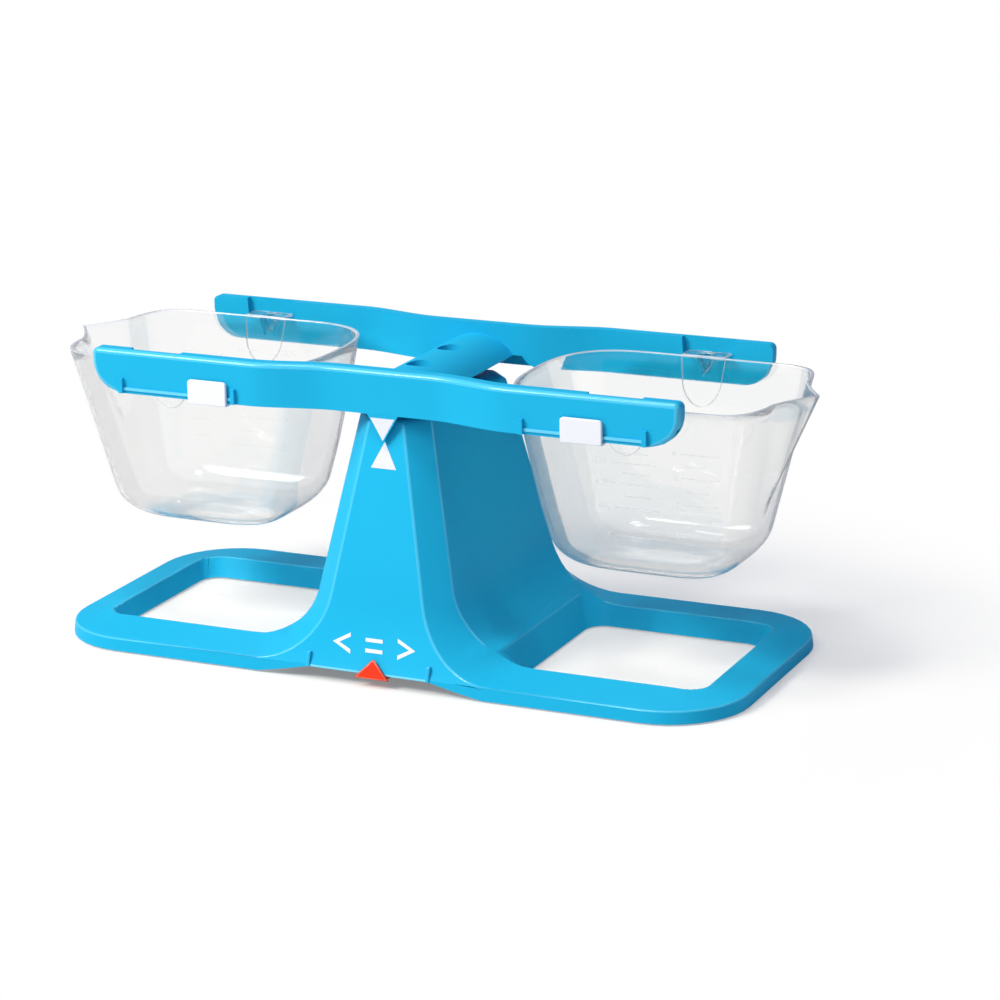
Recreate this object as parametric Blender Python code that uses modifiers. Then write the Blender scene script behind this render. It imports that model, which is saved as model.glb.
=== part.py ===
# Bucket balance for a classroom: a stand, a rocking beam and two hanging one-litre buckets.
# Metres, +Z up, +X along the beam, -Y to the front. The origin lies on the table under the middle.

import math

import bmesh
import bpy
from mathutils import Matrix, Vector

# Gap between pieces that touch, sit in or slide on each other
GAP = 0.0003

# Rubber feet
FOOT_LIFT = 0.001
FOOT_RADIUS = 0.007
FOOT_RECESS = 0.0018
FOOT_STEM_RADIUS = 0.0025
FOOT_STEM_LENGTH = 0.004
FOOT_INSET_X = 0.0215
FOOT_INSET_Y = 0.0205

# Stand: ring foot
BASE_HALF_LENGTH = 0.215
BASE_HALF_DEPTH = 0.09675
RIM_HEIGHT = 0.0075
RIM_DRAFT = 0.0008
RIM_CORNER = 0.047
CREST_HEIGHT = 0.011
CREST_INSET_X = 0.0229
CREST_INSET_Y = 0.0336
CREST_CORNER = 0.022
STAND_WALL = 0.0025
CORNER_BOSS_WALL = 0.0022

# Stand: openings through the ring, narrower at the foot than at the top
HOLE_INNER_X = 0.0762
HOLE_DRAFT_X = 0.53
HOLE_DRAFT_Y = 0.855
HOLE_CORNER = 0.012

# Stand: tower, given at its top and by its slopes
TOWER_HEIGHT = 0.1495
TOWER_EDGE = 0.003
PANEL_TOP_HALF = 0.0104
PANEL_SPLAY = 0.183
PANEL_TOP_DEPTH = 0.0638
PANEL_FOOT_INSET = 0.0077
PANEL_FLARE = 0.047
SIDE_TOP_HALF = 0.0223
SIDE_SPLAY = 0.204
SIDE_TOP_DEPTH = 0.0513
SIDE_RAKE = 0.171
SIDE_FLARE = 0.050

# Stand: arch under the front and rear edges, and the marker's rail
ARCH_HEIGHT = 0.0065
ARCH_HALF_FLAT = 0.038
ARCH_HALF_SPAN = 0.072
ARCH_EASE = 1.15
MARKER_RAIL_HEIGHT = 0.0013
MARKER_RAIL_PROUD = 0.0002
MARKER_STOP_WIDTH = 0.002
MARKER_STOP_HEIGHT = 0.0085
MARKER_STOP_PROUD = 0.0014

# Red marker
MARKER_X = 0.0035
MARKER_HALF_WIDTH = 0.0112
MARKER_DROP = 0.0021
MARKER_HEIGHT = 0.0112
MARKER_PLATE = 0.0012
MARKER_LEAN = 0.28
MARKER_WALL = 0.0016
MARKER_HOOK_RISE = 0.0025

# Bearings and their screws, on top of the tower
BEARING_RISE = 0.0145
BEARING_Y = 0.044
BEARING_HALF_LENGTH = 0.004
BEARING_HALF_WIDTH = 0.005
BEARING_FLANGE_MARGIN_X = 0.004
BEARING_FLANGE_MARGIN_Y = 0.0015
BEARING_FLANGE = 0.002
BEARING_GROOVE_DEPTH = 0.0026
BEARING_GROOVE_SLOPE = 1.43
SCREW_RADIUS = 0.0015
SCREW_HEAD_RADIUS = 0.00325
SCREW_HEAD_HEIGHT = 0.0022
BEARING_SCREW_GRIP = 0.005

# Knife edges
KNIFE_HALF_WIDTH = 0.0018
KNIFE_SLOPE = 0.7
KNIFE_HEIGHT = 0.0043

# Carrier under the saddle, which holds the knife edges
CARRIER_HALF_WIDTH = 0.009
CARRIER_PLATE = 0.003
CARRIER_END_WALL = 0.0015
CARRIER_CHEEK = 0.004
CARRIER_CHEEK_HALF_WIDTH = 0.008
CARRIER_CHEEK_RISE = 0.003
CARRIER_SIDE_PLAY = 0.0015
CARRIER_END_PLAY = 0.0045
CARRIER_BOSS_RADIUS = 0.0045
CARRIER_BOSS_DROP = 0.004

# Beam: arms, measured from the fulcrum line
ARM_HALF_LENGTH = 0.184
ARM_DROP = 0.0114
ARM_HEIGHT = 0.0256
ARM_END_DEPTH = 0.078
ARM_MIDDLE_DEPTH = 0.069
ARM_THICKNESS = 0.0087
ARM_WALL = 0.0018
ARM_TOP_WALL = 0.002
ARM_NECK_START = 0.030
ARM_NECK_END = 0.082
ARM_TOP_CORNER = 0.0035
ARM_FOOT_CORNER = 0.018

# Beam: saddle over the tower
SADDLE_RADIUS = 0.028
SADDLE_RISE = 0.008
SADDLE_WALL = 0.0025
SADDLE_HALF_SPAN = 0.023
WELL_Y = 0.0206
WELL_RADIUS = 0.00725
WELL_WALL = 0.002
WELL_FLOOR = 0.0026
WELL_DEPTH = 0.009
ARM_NOTCH_HALF_WIDTH = 0.042
ARM_NOTCH_HEIGHT = 0.0074
ARM_NOTCH_CORNER = 0.015

# Beam: pointer tab on the front arm
TAB_HALF_WIDTH = 0.0097
TAB_LENGTH = 0.0163

# Beam: rails and stops for the two sliders
SLIDE_INNER_STOP = 0.0904
SLIDE_OUTER_STOP = 0.1642
SLIDE_STOP_WIDTH = 0.0025
SLIDE_STOP_HEIGHT = 0.0092
SLIDE_STOP_PROUD = 0.0024
SLIDE_RAIL_RISE = 0.002
SLIDE_RAIL_HEIGHT = 0.0018
SLIDE_RAIL_PROUD = 0.0009

# Sliders
SLIDER_WIDTH = 0.025
SLIDER_HEIGHT = 0.0143
SLIDER_PLATE = 0.0016
SLIDER_WALL = 0.0012
SLIDER_HOOK_RISE = 0.0056
SLIDER_LEFT_X = 0.1068
SLIDER_RIGHT_X = 0.127

# Hangers of the buckets and their pockets in the arms
HANGER_X = 0.1441
HANGER_DROP = 0.0059
HANGER_HALF_WIDTH = 0.0134
HANGER_PLATE = 0.002
HANGER_RIB_HALF_WIDTH = 0.0024
HANGER_RIB_HEIGHT = 0.0106
HANGER_END_PLAY = 0.0004
POCKET_SHELF_RISE = 0.0074
POCKET_SIDE_PLAY = 0.0024
POCKET_SLANT = 0.0008
POCKET_DEPTH = 0.0039
POCKET_BLOCK_MARGIN = 0.002
GROOVE_HALF_WIDTH = 0.0043

# Buckets, given at the rim
BUCKET_RISE = 0.0116
BUCKET_HEIGHT = 0.107
BUCKET_INNER_X = 0.0817
BUCKET_OUTER_X = 0.0776
BUCKET_HALF_WIDTH = 0.0618
BUCKET_WALL = 0.002
BUCKET_INNER_TAPER = 0.25
BUCKET_OUTER_TAPER = 0.228
BUCKET_SIDE_TAPER = 0.179
BUCKET_INNER_ROUND = 0.039
BUCKET_OUTER_ROUND = 0.033
BUCKET_FOOT_RADIUS = 0.0195
INNER_SQUARENESS = 4.0
OUTER_SQUARENESS = 3.5
SPOUT_REACH = 0.0155
SPOUT_HALF_WIDTH = 0.0285
SPOUT_DEPTH = 0.068
PAD_HALF_WIDTH = 0.0137
PAD_HEIGHT = 0.0297
PAD_PROUD = 0.001

# Heights and places that follow from the sizes above, measured from the foot of the stand
CREST_HALF_LENGTH = BASE_HALF_LENGTH - CREST_INSET_X
CREST_HALF_DEPTH = BASE_HALF_DEPTH - CREST_INSET_Y
RIM_TOP_HALF_LENGTH = BASE_HALF_LENGTH - RIM_DRAFT
RIM_TOP_HALF_DEPTH = BASE_HALF_DEPTH - RIM_DRAFT
HOLE_OUTER_X = CREST_HALF_LENGTH - HOLE_DRAFT_X * CREST_HEIGHT
HOLE_HALF_DEPTH = CREST_HALF_DEPTH - HOLE_DRAFT_Y * CREST_HEIGHT
PANEL_RAKE = (BASE_HALF_DEPTH - PANEL_FOOT_INSET - PANEL_TOP_DEPTH) / (TOWER_HEIGHT - RIM_HEIGHT)
FULCRUM = TOWER_HEIGHT + BEARING_RISE
ARM_BOTTOM = FULCRUM - ARM_DROP
ARM_TOP = ARM_BOTTOM + ARM_HEIGHT
SADDLE_CENTRE = FULCRUM + SADDLE_RISE - SADDLE_RADIUS
HANGER_LINE = FULCRUM - HANGER_DROP
RIM_LINE = HANGER_LINE + BUCKET_RISE
SLIDER_PLATE_IN = ARM_END_DEPTH + SLIDE_RAIL_PROUD + GAP
SLIDER_HOOK_OUT = ARM_END_DEPTH - ARM_WALL - GAP
SLIDER_HOOK_IN = SLIDER_HOOK_OUT - SLIDER_WALL
POCKET_BACK = SLIDER_HOOK_IN - GAP
ARM_INNER_END = ARM_END_DEPTH - ARM_THICKNESS
ARM_INNER_MIDDLE = ARM_MIDDLE_DEPTH - ARM_THICKNESS
POCKET_HALF_WIDTH = HANGER_HALF_WIDTH + POCKET_SIDE_PLAY
HANGER_TIP = ARM_INNER_END + POCKET_DEPTH - HANGER_END_PLAY
WELL_FLOOR_TOP = FULCRUM + SADDLE_RISE - WELL_DEPTH
WELL_FLOOR_BOTTOM = WELL_FLOOR_TOP - WELL_FLOOR
CARRIER_TOP = WELL_FLOOR_BOTTOM - GAP
CARRIER_BOTTOM = CARRIER_TOP - CARRIER_PLATE
WINDOW_HALF_WIDTH = BEARING_HALF_WIDTH + CARRIER_SIDE_PLAY
WINDOW_HALF_LENGTH = BEARING_HALF_LENGTH + CARRIER_END_PLAY
KNIFE_SEAT_HALF_LENGTH = WINDOW_HALF_LENGTH + CARRIER_CHEEK
CHEEK_HALF_LENGTH = KNIFE_SEAT_HALF_LENGTH + CARRIER_END_WALL
SCREW_HOLE_RADIUS = SCREW_RADIUS + GAP
MARKER_LOW = ARCH_HEIGHT - MARKER_DROP
RAIL_TOP = ARCH_HEIGHT + MARKER_RAIL_HEIGHT + GAP
MARKER_BACK = RIM_TOP_HALF_DEPTH + MARKER_RAIL_PROUD + GAP + MARKER_LEAN * (RAIL_TOP - MARKER_LOW)
MARKER_FRONT = MARKER_BACK + MARKER_PLATE

# How finely round shapes are drawn
FLARE_STEPS = 10
CORNER_STEPS = 9
EDGE_STEPS = 3
ARC_STEPS = 24
ROUND_SIDES = 32
BUCKET_CORNER_STEPS = 6
SPOUT_STEPS = 3
BUCKET_WALL_STEPS = 3
BUCKET_FOOT_STEPS = 4


def clear_scene():
    for old in list(bpy.data.objects):
        bpy.data.objects.remove(old, do_unlink=True)


def collection(name):
    made = bpy.data.collections.new(name)
    bpy.context.scene.collection.children.link(made)
    return made


def material(name, colour, roughness, metallic=0.0, alpha=1.0):
    made = bpy.data.materials.new(name)
    made.use_nodes = True
    shader = made.node_tree.nodes["Principled BSDF"]
    shader.inputs["Base Color"].default_value = (*colour, 1.0)
    shader.inputs["Roughness"].default_value = roughness
    shader.inputs["Metallic"].default_value = metallic
    shader.inputs["Alpha"].default_value = alpha
    return made


def helper(name, mesh):
    """A solid that cuts or joins another one, and is no piece itself."""
    made = bpy.data.objects.new(name, mesh)
    CUTTERS.objects.link(made)
    made.hide_render = True
    made.display_type = "WIRE"
    return made


def mesh_of(name, builder):
    """The mesh that the bmesh holds, which is freed."""
    mesh = bpy.data.meshes.new(name)
    builder.to_mesh(mesh)
    builder.free()
    return mesh


def box(name, x, y, z):
    """A box between three pairs of limits."""
    builder = bmesh.new()
    middle = Vector(((x[0] + x[1]) / 2, (y[0] + y[1]) / 2, (z[0] + z[1]) / 2))
    size = (x[1] - x[0], y[1] - y[0], z[1] - z[0], 1.0)
    bmesh.ops.create_cube(builder, size=1.0, matrix=Matrix.Translation(middle) @ Matrix.Diagonal(size))
    return helper(name, mesh_of(name, builder))


def cylinder(name, radius, z, x=0.0, y=0.0):
    """An upright cylinder between two heights."""
    builder = bmesh.new()
    bmesh.ops.create_cone(
        builder,
        cap_ends=True,
        segments=ROUND_SIDES,
        radius1=radius,
        radius2=radius,
        depth=z[1] - z[0],
        matrix=Matrix.Translation((x, y, (z[0] + z[1]) / 2)),
    )
    return helper(name, mesh_of(name, builder))


def prism(name, outline, limits, axis):
    """A flat outline extruded between two limits along an axis: X from (y, z), Y from (x, z), Z from (x, y)."""
    flat = bpy.data.curves.new(name, "CURVE")
    flat.dimensions = "2D"
    flat.fill_mode = "BOTH"
    flat.extrude = (limits[1] - limits[0]) / 2
    spline = flat.splines.new("POLY")
    spline.points.add(len(outline) - 1)
    for point, place in zip(spline.points, outline):
        point.co = (place[0], place[1], 0.0, 1.0)
    spline.use_cyclic_u = True
    curve = bpy.data.objects.new(name, flat)
    CUTTERS.objects.link(curve)
    graph = bpy.context.evaluated_depsgraph_get()
    mesh = bpy.data.meshes.new_from_object(curve.evaluated_get(graph))
    bpy.data.objects.remove(curve, do_unlink=True)
    middle = (limits[0] + limits[1]) / 2
    turn = {
        "X": Matrix(((0, 0, 1, middle), (1, 0, 0, 0), (0, 1, 0, 0), (0, 0, 0, 1))),
        "Y": Matrix(((1, 0, 0, 0), (0, 0, -1, middle), (0, 1, 0, 0), (0, 0, 0, 1))),
        "Z": Matrix.Translation((0, 0, middle)),
    }[axis]
    mesh.transform(turn)
    builder = bmesh.new()
    builder.from_mesh(mesh)
    bmesh.ops.remove_doubles(builder, verts=builder.verts, dist=0.000001)
    bmesh.ops.recalc_face_normals(builder, faces=builder.faces)
    builder.to_mesh(mesh)
    builder.free()
    return helper(name, mesh)


def loft(name, rings):
    """A closed skin over rings of equal counts, each counter-clockwise from above, the first facing down."""
    builder = bmesh.new()
    rows = [[builder.verts.new(place) for place in ring] for ring in rings]
    count = len(rows[0])
    for lower, upper in zip(rows, rows[1:]):
        for i in range(count):
            j = (i + 1) % count
            builder.faces.new((lower[i], lower[j], upper[j], upper[i]))
    builder.faces.new(list(reversed(rows[0])))
    builder.faces.new(rows[-1])
    return helper(name, mesh_of(name, builder))


def copied(name, source, matrix):
    """A moved or mirrored copy of a helper."""
    mesh = source.data.copy()
    mesh.transform(matrix)
    if matrix.determinant() < 0:
        mesh.flip_normals()
    return helper(name, mesh)


def merged(name, solids):
    """Helpers that don't touch each other, as one helper."""
    builder = bmesh.new()
    for solid in solids:
        builder.from_mesh(solid.data)
        bpy.data.objects.remove(solid, do_unlink=True)
    return helper(name, mesh_of(name, builder))


def boolean(target, other, operation):
    modifier = target.modifiers.new(other.name, "BOOLEAN")
    modifier.operation = operation
    modifier.solver = "EXACT"
    modifier.object = other


def cut(target, *others):
    for other in others:
        boolean(target, other, "DIFFERENCE")


def join(target, *others):
    for other in others:
        boolean(target, other, "UNION")


def piece(name, solid, finish):
    """Turns a helper into a named piece of the balance."""
    CUTTERS.objects.unlink(solid)
    PIECES.objects.link(solid)
    solid.name = name
    solid.data.name = name
    solid.hide_render = False
    solid.display_type = "TEXTURED"
    solid.data.materials.clear()
    solid.data.materials.append(finish)
    return solid


def pivot(name, place, parent=None):
    """An empty on a joint's axis."""
    made = bpy.data.objects.new(name, None)
    PIECES.objects.link(made)
    made.parent = parent
    made["place"] = place
    made.location = Vector(place) - (Vector(parent["place"]) if parent else Vector())
    return made


def carry(parent, *solids):
    """Parents pieces, and the helpers that shape them, to an empty without moving them."""
    for solid in solids:
        solid.parent = parent
        solid.location = -Vector(parent["place"])
        for modifier in solid.modifiers:
            if modifier.type == "BOOLEAN" and modifier.object.parent != parent:
                carry(parent, modifier.object)


def smooth(solid, degrees=30.0):
    solid.data.shade_smooth()
    solid.data.set_sharp_from_angle(angle=math.radians(degrees))


def ease(share):
    """A soft step from 0 to 1."""
    share = min(max(share, 0.0), 1.0)
    return share * share * (3.0 - 2.0 * share)


def rounded_box_outline(low, high, half_depth, radius):
    """A rectangle with round corners, counter-clockwise, from low to high along the first axis."""
    points = []
    corners = (
        (high - radius, half_depth - radius, 0.0),
        (low + radius, half_depth - radius, 0.5),
        (low + radius, radius - half_depth, 1.0),
        (high - radius, radius - half_depth, 1.5),
    )
    for x, y, turn in corners:
        for step in range(CORNER_STEPS + 1):
            angle = math.pi * (turn + 0.5 * step / CORNER_STEPS)
            points.append((x + radius * math.cos(angle), y + radius * math.sin(angle)))
    return points


def flare_line(top_half, splay, radius, foot, wall):
    """Half widths and heights of a crease, from its straight flank down the round flare to the ring."""
    slope = math.atan(splay)
    centre_z = foot + radius
    centre_x = top_half + splay * (TOWER_HEIGHT - centre_z) + radius / math.cos(slope)
    line = []
    for step in range(FLARE_STEPS + 1):
        angle = (math.pi / 2 - slope) * (1.0 - step / FLARE_STEPS)
        reach = radius + wall
        line.append((centre_x - reach * math.sin(angle), centre_z - reach * math.cos(angle)))
    return line


def flank(top_half, splay, height, wall):
    """Half width of a crease on its straight flank."""
    return top_half + splay * (TOWER_HEIGHT - height) - wall / math.cos(math.atan(splay))


def panel_depth(height, start):
    """Depth of the front panel's crease: a raked plane that sweeps out to the rim below the start height."""
    depth = PANEL_TOP_DEPTH + PANEL_RAKE * (TOWER_HEIGHT - height)
    if height >= start:
        return depth
    foot = PANEL_TOP_DEPTH + PANEL_RAKE * (TOWER_HEIGHT - RIM_HEIGHT)
    share = (start - height) / (start - RIM_HEIGHT)
    return depth + (RIM_TOP_HALF_DEPTH - foot) * share * share


def stand_skin(name, wall, foot):
    """The stand as one solid, shrunk by the wall, down to a foot height. Only the front right quarter is drawn."""
    panel_line = flare_line(PANEL_TOP_HALF, PANEL_SPLAY, PANEL_FLARE, RIM_HEIGHT, wall)
    side_line = flare_line(SIDE_TOP_HALF, SIDE_SPLAY, SIDE_FLARE, CREST_HEIGHT, wall)
    panel_start = flare_line(PANEL_TOP_HALF, PANEL_SPLAY, PANEL_FLARE, RIM_HEIGHT, 0.0)[0][1]
    side_start = flare_line(SIDE_TOP_HALF, SIDE_SPLAY, SIDE_FLARE, CREST_HEIGHT, 0.0)[0][1]
    panel = []
    side = []
    for step in range(EDGE_STEPS + 1):
        angle = 0.5 * math.pi * (1.0 - step / EDGE_STEPS)
        inset = TOWER_EDGE * (1.0 - math.cos(angle))
        height = TOWER_HEIGHT - wall - TOWER_EDGE * (1.0 - math.sin(angle))
        panel_x = flank(PANEL_TOP_HALF, PANEL_SPLAY, height, wall) - inset
        side_x = flank(SIDE_TOP_HALF, SIDE_SPLAY, height, wall) - inset
        side_y = SIDE_TOP_DEPTH + SIDE_RAKE * (TOWER_HEIGHT - height)
        panel.append((panel_x, -(panel_depth(height, panel_start) - wall - inset), height))
        side.append((side_x, -(side_y - wall - inset), height))
    side_flank_y = SIDE_TOP_DEPTH + SIDE_RAKE * (TOWER_HEIGHT - side_start)
    for step in range(FLARE_STEPS + 1):
        x, height = panel_line[step]
        outer_height = height + wall * (height - RIM_HEIGHT + wall) / (PANEL_FLARE + wall)
        depth = panel_depth(max(outer_height, RIM_HEIGHT), panel_start)
        panel.append((x, -(depth - wall), height))
        x, height = side_line[step]
        depth = side_flank_y + (CREST_HALF_DEPTH - side_flank_y) * ease(step / FLARE_STEPS)
        side.append((x, -(depth - wall), height))
    tower_rows = len(panel)
    base = [(x, y, foot) for x, y in ((0.0, -(BASE_HALF_DEPTH - wall)), (panel[-1][0], -(BASE_HALF_DEPTH - wall)))]
    for step in range(CORNER_STEPS + 1):
        angle = 0.5 * math.pi * (step / CORNER_STEPS - 1.0)
        away = Vector((math.cos(angle), math.sin(angle)))
        corner = Vector((RIM_TOP_HALF_LENGTH - RIM_CORNER, RIM_CORNER - RIM_TOP_HALF_DEPTH))
        crest = Vector((CREST_HALF_LENGTH - CREST_CORNER, CREST_CORNER - CREST_HALF_DEPTH + wall))
        panel.append((*(corner + away * (RIM_CORNER - wall)), RIM_HEIGHT - wall))
        side.append((*(crest + away * CREST_CORNER), CREST_HEIGHT - wall))
        base.append((*(corner + away * (RIM_CORNER + RIM_DRAFT - wall)), foot))
    panel.append((panel[-1][0], 0.0, RIM_HEIGHT - wall))
    side.append((side[-1][0], 0.0, CREST_HEIGHT - wall))
    base.append((base[-1][0], 0.0, foot))

    builder = bmesh.new()
    add = builder.verts.new
    panel_row = [add(place) for place in panel]
    side_row = [add(place) for place in side]
    base_row = [add(place) for place in base]
    front_row = [add((0.0, y, z)) for x, y, z in panel[:tower_rows]]
    flank_row = [add((x, 0.0, z)) for x, y, z in side[:tower_rows]]
    face = builder.faces.new
    for i in range(tower_rows - 1):
        face((front_row[i + 1], panel_row[i + 1], panel_row[i], front_row[i]))
        face((side_row[i + 1], flank_row[i + 1], flank_row[i], side_row[i]))
    for i in range(len(panel_row) - 1):
        face((panel_row[i + 1], side_row[i + 1], side_row[i], panel_row[i]))
    rim_row = [front_row[-1]] + panel_row[tower_rows - 1:]
    for i in range(len(rim_row) - 1):
        face((base_row[i], base_row[i + 1], rim_row[i + 1], rim_row[i]))
    top_middle = add((0.0, 0.0, panel[0][2]))
    face((front_row[0], panel_row[0], side_row[0], flank_row[0], top_middle))
    face(side_row[tower_rows - 1:] + [flank_row[-1]])
    base_middle = add((0.0, 0.0, foot))
    face(list(reversed(base_row + [base_middle])))
    quarter = helper(name, mesh_of(name, builder))
    mirror = quarter.modifiers.new("four quarters", "MIRROR")
    mirror.use_axis = (True, True, False)
    mirror.use_mirror_merge = True
    mirror.merge_threshold = 0.00001
    return quarter


def hole_block(name, side, wall, low, high):
    """The tapered opening on one side of the ring, grown by the wall all round."""
    rings = []
    for height in (low, high):
        inner = HOLE_INNER_X - HOLE_DRAFT_X * height - wall
        outer = HOLE_OUTER_X + HOLE_DRAFT_X * height + wall
        depth = HOLE_HALF_DEPTH + HOLE_DRAFT_Y * height + wall
        outline = rounded_box_outline(inner, outer, depth, HOLE_CORNER + wall)
        ring = [(side * x, y, height) for x, y in outline]
        rings.append(ring if side > 0 else list(reversed(ring)))
    return loft(name, rings)


def arch_outline(clearance):
    """The low arch under the front edge, in x and z."""
    rise = []
    for step in range(CORNER_STEPS + 1):
        share = step / CORNER_STEPS
        x = ARCH_HALF_SPAN - (ARCH_HALF_SPAN - ARCH_HALF_FLAT) * share
        rise.append((x, ARCH_HEIGHT * share**ARCH_EASE))
    right = [(ARCH_HALF_SPAN, -clearance)] + rise
    return right + [(-x, z) for x, z in reversed(right)]


def foot_places():
    x = BASE_HALF_LENGTH - FOOT_INSET_X
    y = BASE_HALF_DEPTH - FOOT_INSET_Y
    return {
        "front_left": (-x, -y),
        "front_right": (x, -y),
        "rear_left": (-x, y),
        "rear_right": (x, y),
    }


def make_stand(blue):
    margin = 0.002
    stand = stand_skin("stand", 0.0, 0.0)
    hollow = stand_skin("stand_hollow", STAND_WALL, -margin)
    block_top = CREST_HEIGHT + SIDE_FLARE / 4
    for side, word in ((-1, "left"), (1, "right")):
        cut(hollow, hole_block(f"hole_wall_{word}", side, STAND_WALL, -2 * margin, block_top))
    boss_radius = FOOT_RADIUS + GAP + CORNER_BOSS_WALL
    for word, (x, y) in foot_places().items():
        cut(hollow, cylinder(f"corner_boss_{word}", boss_radius, (-2 * margin, CREST_HEIGHT), x, y))
    cut(stand, hollow)
    for side, word in ((-1, "left"), (1, "right")):
        cut(stand, hole_block(f"hole_{word}", side, 0.0, -margin, block_top))
    reach = (BASE_HALF_DEPTH - 2 * STAND_WALL - RIM_DRAFT, BASE_HALF_DEPTH + margin)
    cut(stand, prism("front_arch", arch_outline(margin), (-reach[1], -reach[0]), "Y"))
    cut(stand, prism("rear_arch", arch_outline(margin), reach, "Y"))
    rail_front = -(RIM_TOP_HALF_DEPTH + MARKER_RAIL_PROUD)
    rail_back = STAND_WALL / 2 - RIM_TOP_HALF_DEPTH
    half_run = ARCH_HALF_FLAT + MARKER_STOP_WIDTH / 2
    rail_low = ARCH_HEIGHT + GAP / 3
    rail = box(
        "marker_rail",
        (GAP - ARCH_HALF_FLAT, ARCH_HALF_FLAT - GAP),
        (rail_front, rail_back),
        (rail_low, rail_low + MARKER_RAIL_HEIGHT),
    )
    join(stand, rail)
    for side, word in ((-1, "left"), (1, "right")):
        ends = sorted((side * (half_run - MARKER_STOP_WIDTH), side * half_run))
        low = ARCH_HEIGHT + GAP
        high = ARCH_HEIGHT + MARKER_STOP_HEIGHT
        front = RIM_TOP_HALF_DEPTH + MARKER_STOP_PROUD
        back = RIM_TOP_HALF_DEPTH - 2 * STAND_WALL
        section = [(-back, low), (-back, high), (MARKER_LEAN * (high - low) - front, high), (-front, low)]
        stop = prism(f"marker_stop_{word}", section, ends, "X")
        join(stand, stop)
    for word, (x, y) in foot_places().items():
        cut(stand, cylinder(f"foot_recess_{word}", FOOT_RADIUS + GAP, (-margin, FOOT_RECESS), x, y))
        stem_hole = (-margin, FOOT_RECESS + FOOT_STEM_LENGTH)
        cut(stand, cylinder(f"foot_stem_hole_{word}", FOOT_STEM_RADIUS + GAP, stem_hole, x, y))
    for side, word in ((-1, "front"), (1, "rear")):
        through = (TOWER_HEIGHT - 2 * STAND_WALL, TOWER_HEIGHT + margin)
        cut(stand, cylinder(f"bearing_screw_hole_{word}", SCREW_HOLE_RADIUS, through, 0.0, side * BEARING_Y))
    return piece("stand", stand, blue)


def make_feet(rubber):
    feet = []
    for word, (x, y) in foot_places().items():
        foot = cylinder(f"foot_pad_{word}", FOOT_RADIUS, (-FOOT_LIFT, FOOT_RECESS - GAP), x, y)
        stem = cylinder(
            f"foot_stem_{word}",
            FOOT_STEM_RADIUS,
            (0.0, FOOT_RECESS + FOOT_STEM_LENGTH - GAP),
            x,
            y,
        )
        join(foot, stem)
        feet.append(piece(f"foot_{word}", foot, rubber))
    return feet


def make_marker(red):
    """A leaning triangle in front of the rail, with a hook that passes under the edge and up behind the wall."""
    high = MARKER_LOW + MARKER_HEIGHT
    lean = MARKER_LEAN * MARKER_HEIGHT
    slab = [(-MARKER_FRONT, MARKER_LOW), (-MARKER_BACK, MARKER_LOW), (lean - MARKER_BACK, high), (lean - MARKER_FRONT, high)]
    sides = (MARKER_X - MARKER_HALF_WIDTH, MARKER_X + MARKER_HALF_WIDTH)
    marker = prism("marker_plate", slab, sides, "X")
    triangle = [(sides[0], MARKER_LOW - GAP / 3), (sides[1], MARKER_LOW - GAP / 3), (MARKER_X, high)]
    boolean(marker, prism("marker_outline", triangle, (-2 * MARKER_FRONT, 0.0), "Y"), "INTERSECT")
    hook_out = panel_depth(ARCH_HEIGHT + MARKER_HOOK_RISE, PANEL_FLARE) - STAND_WALL - 2 * GAP
    hook_in = hook_out - MARKER_WALL
    under = ARCH_HEIGHT - GAP
    reach = MARKER_BACK + MARKER_PLATE / 2 - MARKER_LEAN * (under - MARKER_LOW)
    share = 1.0 - (under - MARKER_LOW) / MARKER_HEIGHT
    half = MARKER_HALF_WIDTH * share - 2 * GAP
    section = [
        (-reach, MARKER_LOW + GAP / 3),
        (-hook_in, MARKER_LOW + GAP / 3),
        (-hook_in, ARCH_HEIGHT + MARKER_HOOK_RISE),
        (-hook_out, ARCH_HEIGHT + MARKER_HOOK_RISE),
        (-hook_out, under),
        (-reach, under),
    ]
    join(marker, prism("marker_hook", section, (MARKER_X - half, MARKER_X + half), "X"))
    return piece("red_marker", marker, red)


def make_bearings(steel):
    made = []
    flange_low = TOWER_HEIGHT + GAP
    top = FULCRUM - GAP + BEARING_GROOVE_DEPTH
    for side, word in ((-1, "front"), (1, "rear")):
        y = side * BEARING_Y
        length = BEARING_HALF_LENGTH
        flange_length = length + BEARING_FLANGE_MARGIN_Y
        flange_width = BEARING_HALF_WIDTH + BEARING_FLANGE_MARGIN_X
        bearing = box(
            f"bearing_post_{word}",
            (-BEARING_HALF_WIDTH, BEARING_HALF_WIDTH),
            (y - length, y + length),
            (flange_low + BEARING_FLANGE / 2, top),
        )
        flange = box(
            f"bearing_flange_{word}",
            (-flange_width, flange_width),
            (y - flange_length, y + flange_length),
            (flange_low, flange_low + BEARING_FLANGE),
        )
        join(bearing, flange)
        over = 1.5 * BEARING_GROOVE_DEPTH
        half = BEARING_GROOVE_SLOPE * over
        groove = [(-half, FULCRUM - GAP + over), (0.0, FULCRUM - GAP), (half, FULCRUM - GAP + over)]
        cut(bearing, prism(f"bearing_groove_{word}", groove, (y - 2 * length, y + 2 * length), "Y"))
        hole = (TOWER_HEIGHT - STAND_WALL, TOWER_HEIGHT + BEARING_FLANGE + BEARING_SCREW_GRIP + GAP)
        cut(bearing, cylinder(f"bearing_hole_{word}", SCREW_HOLE_RADIUS, hole, 0.0, y))
        made.append(piece(f"bearing_{word}", bearing, steel))
    return made


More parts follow.
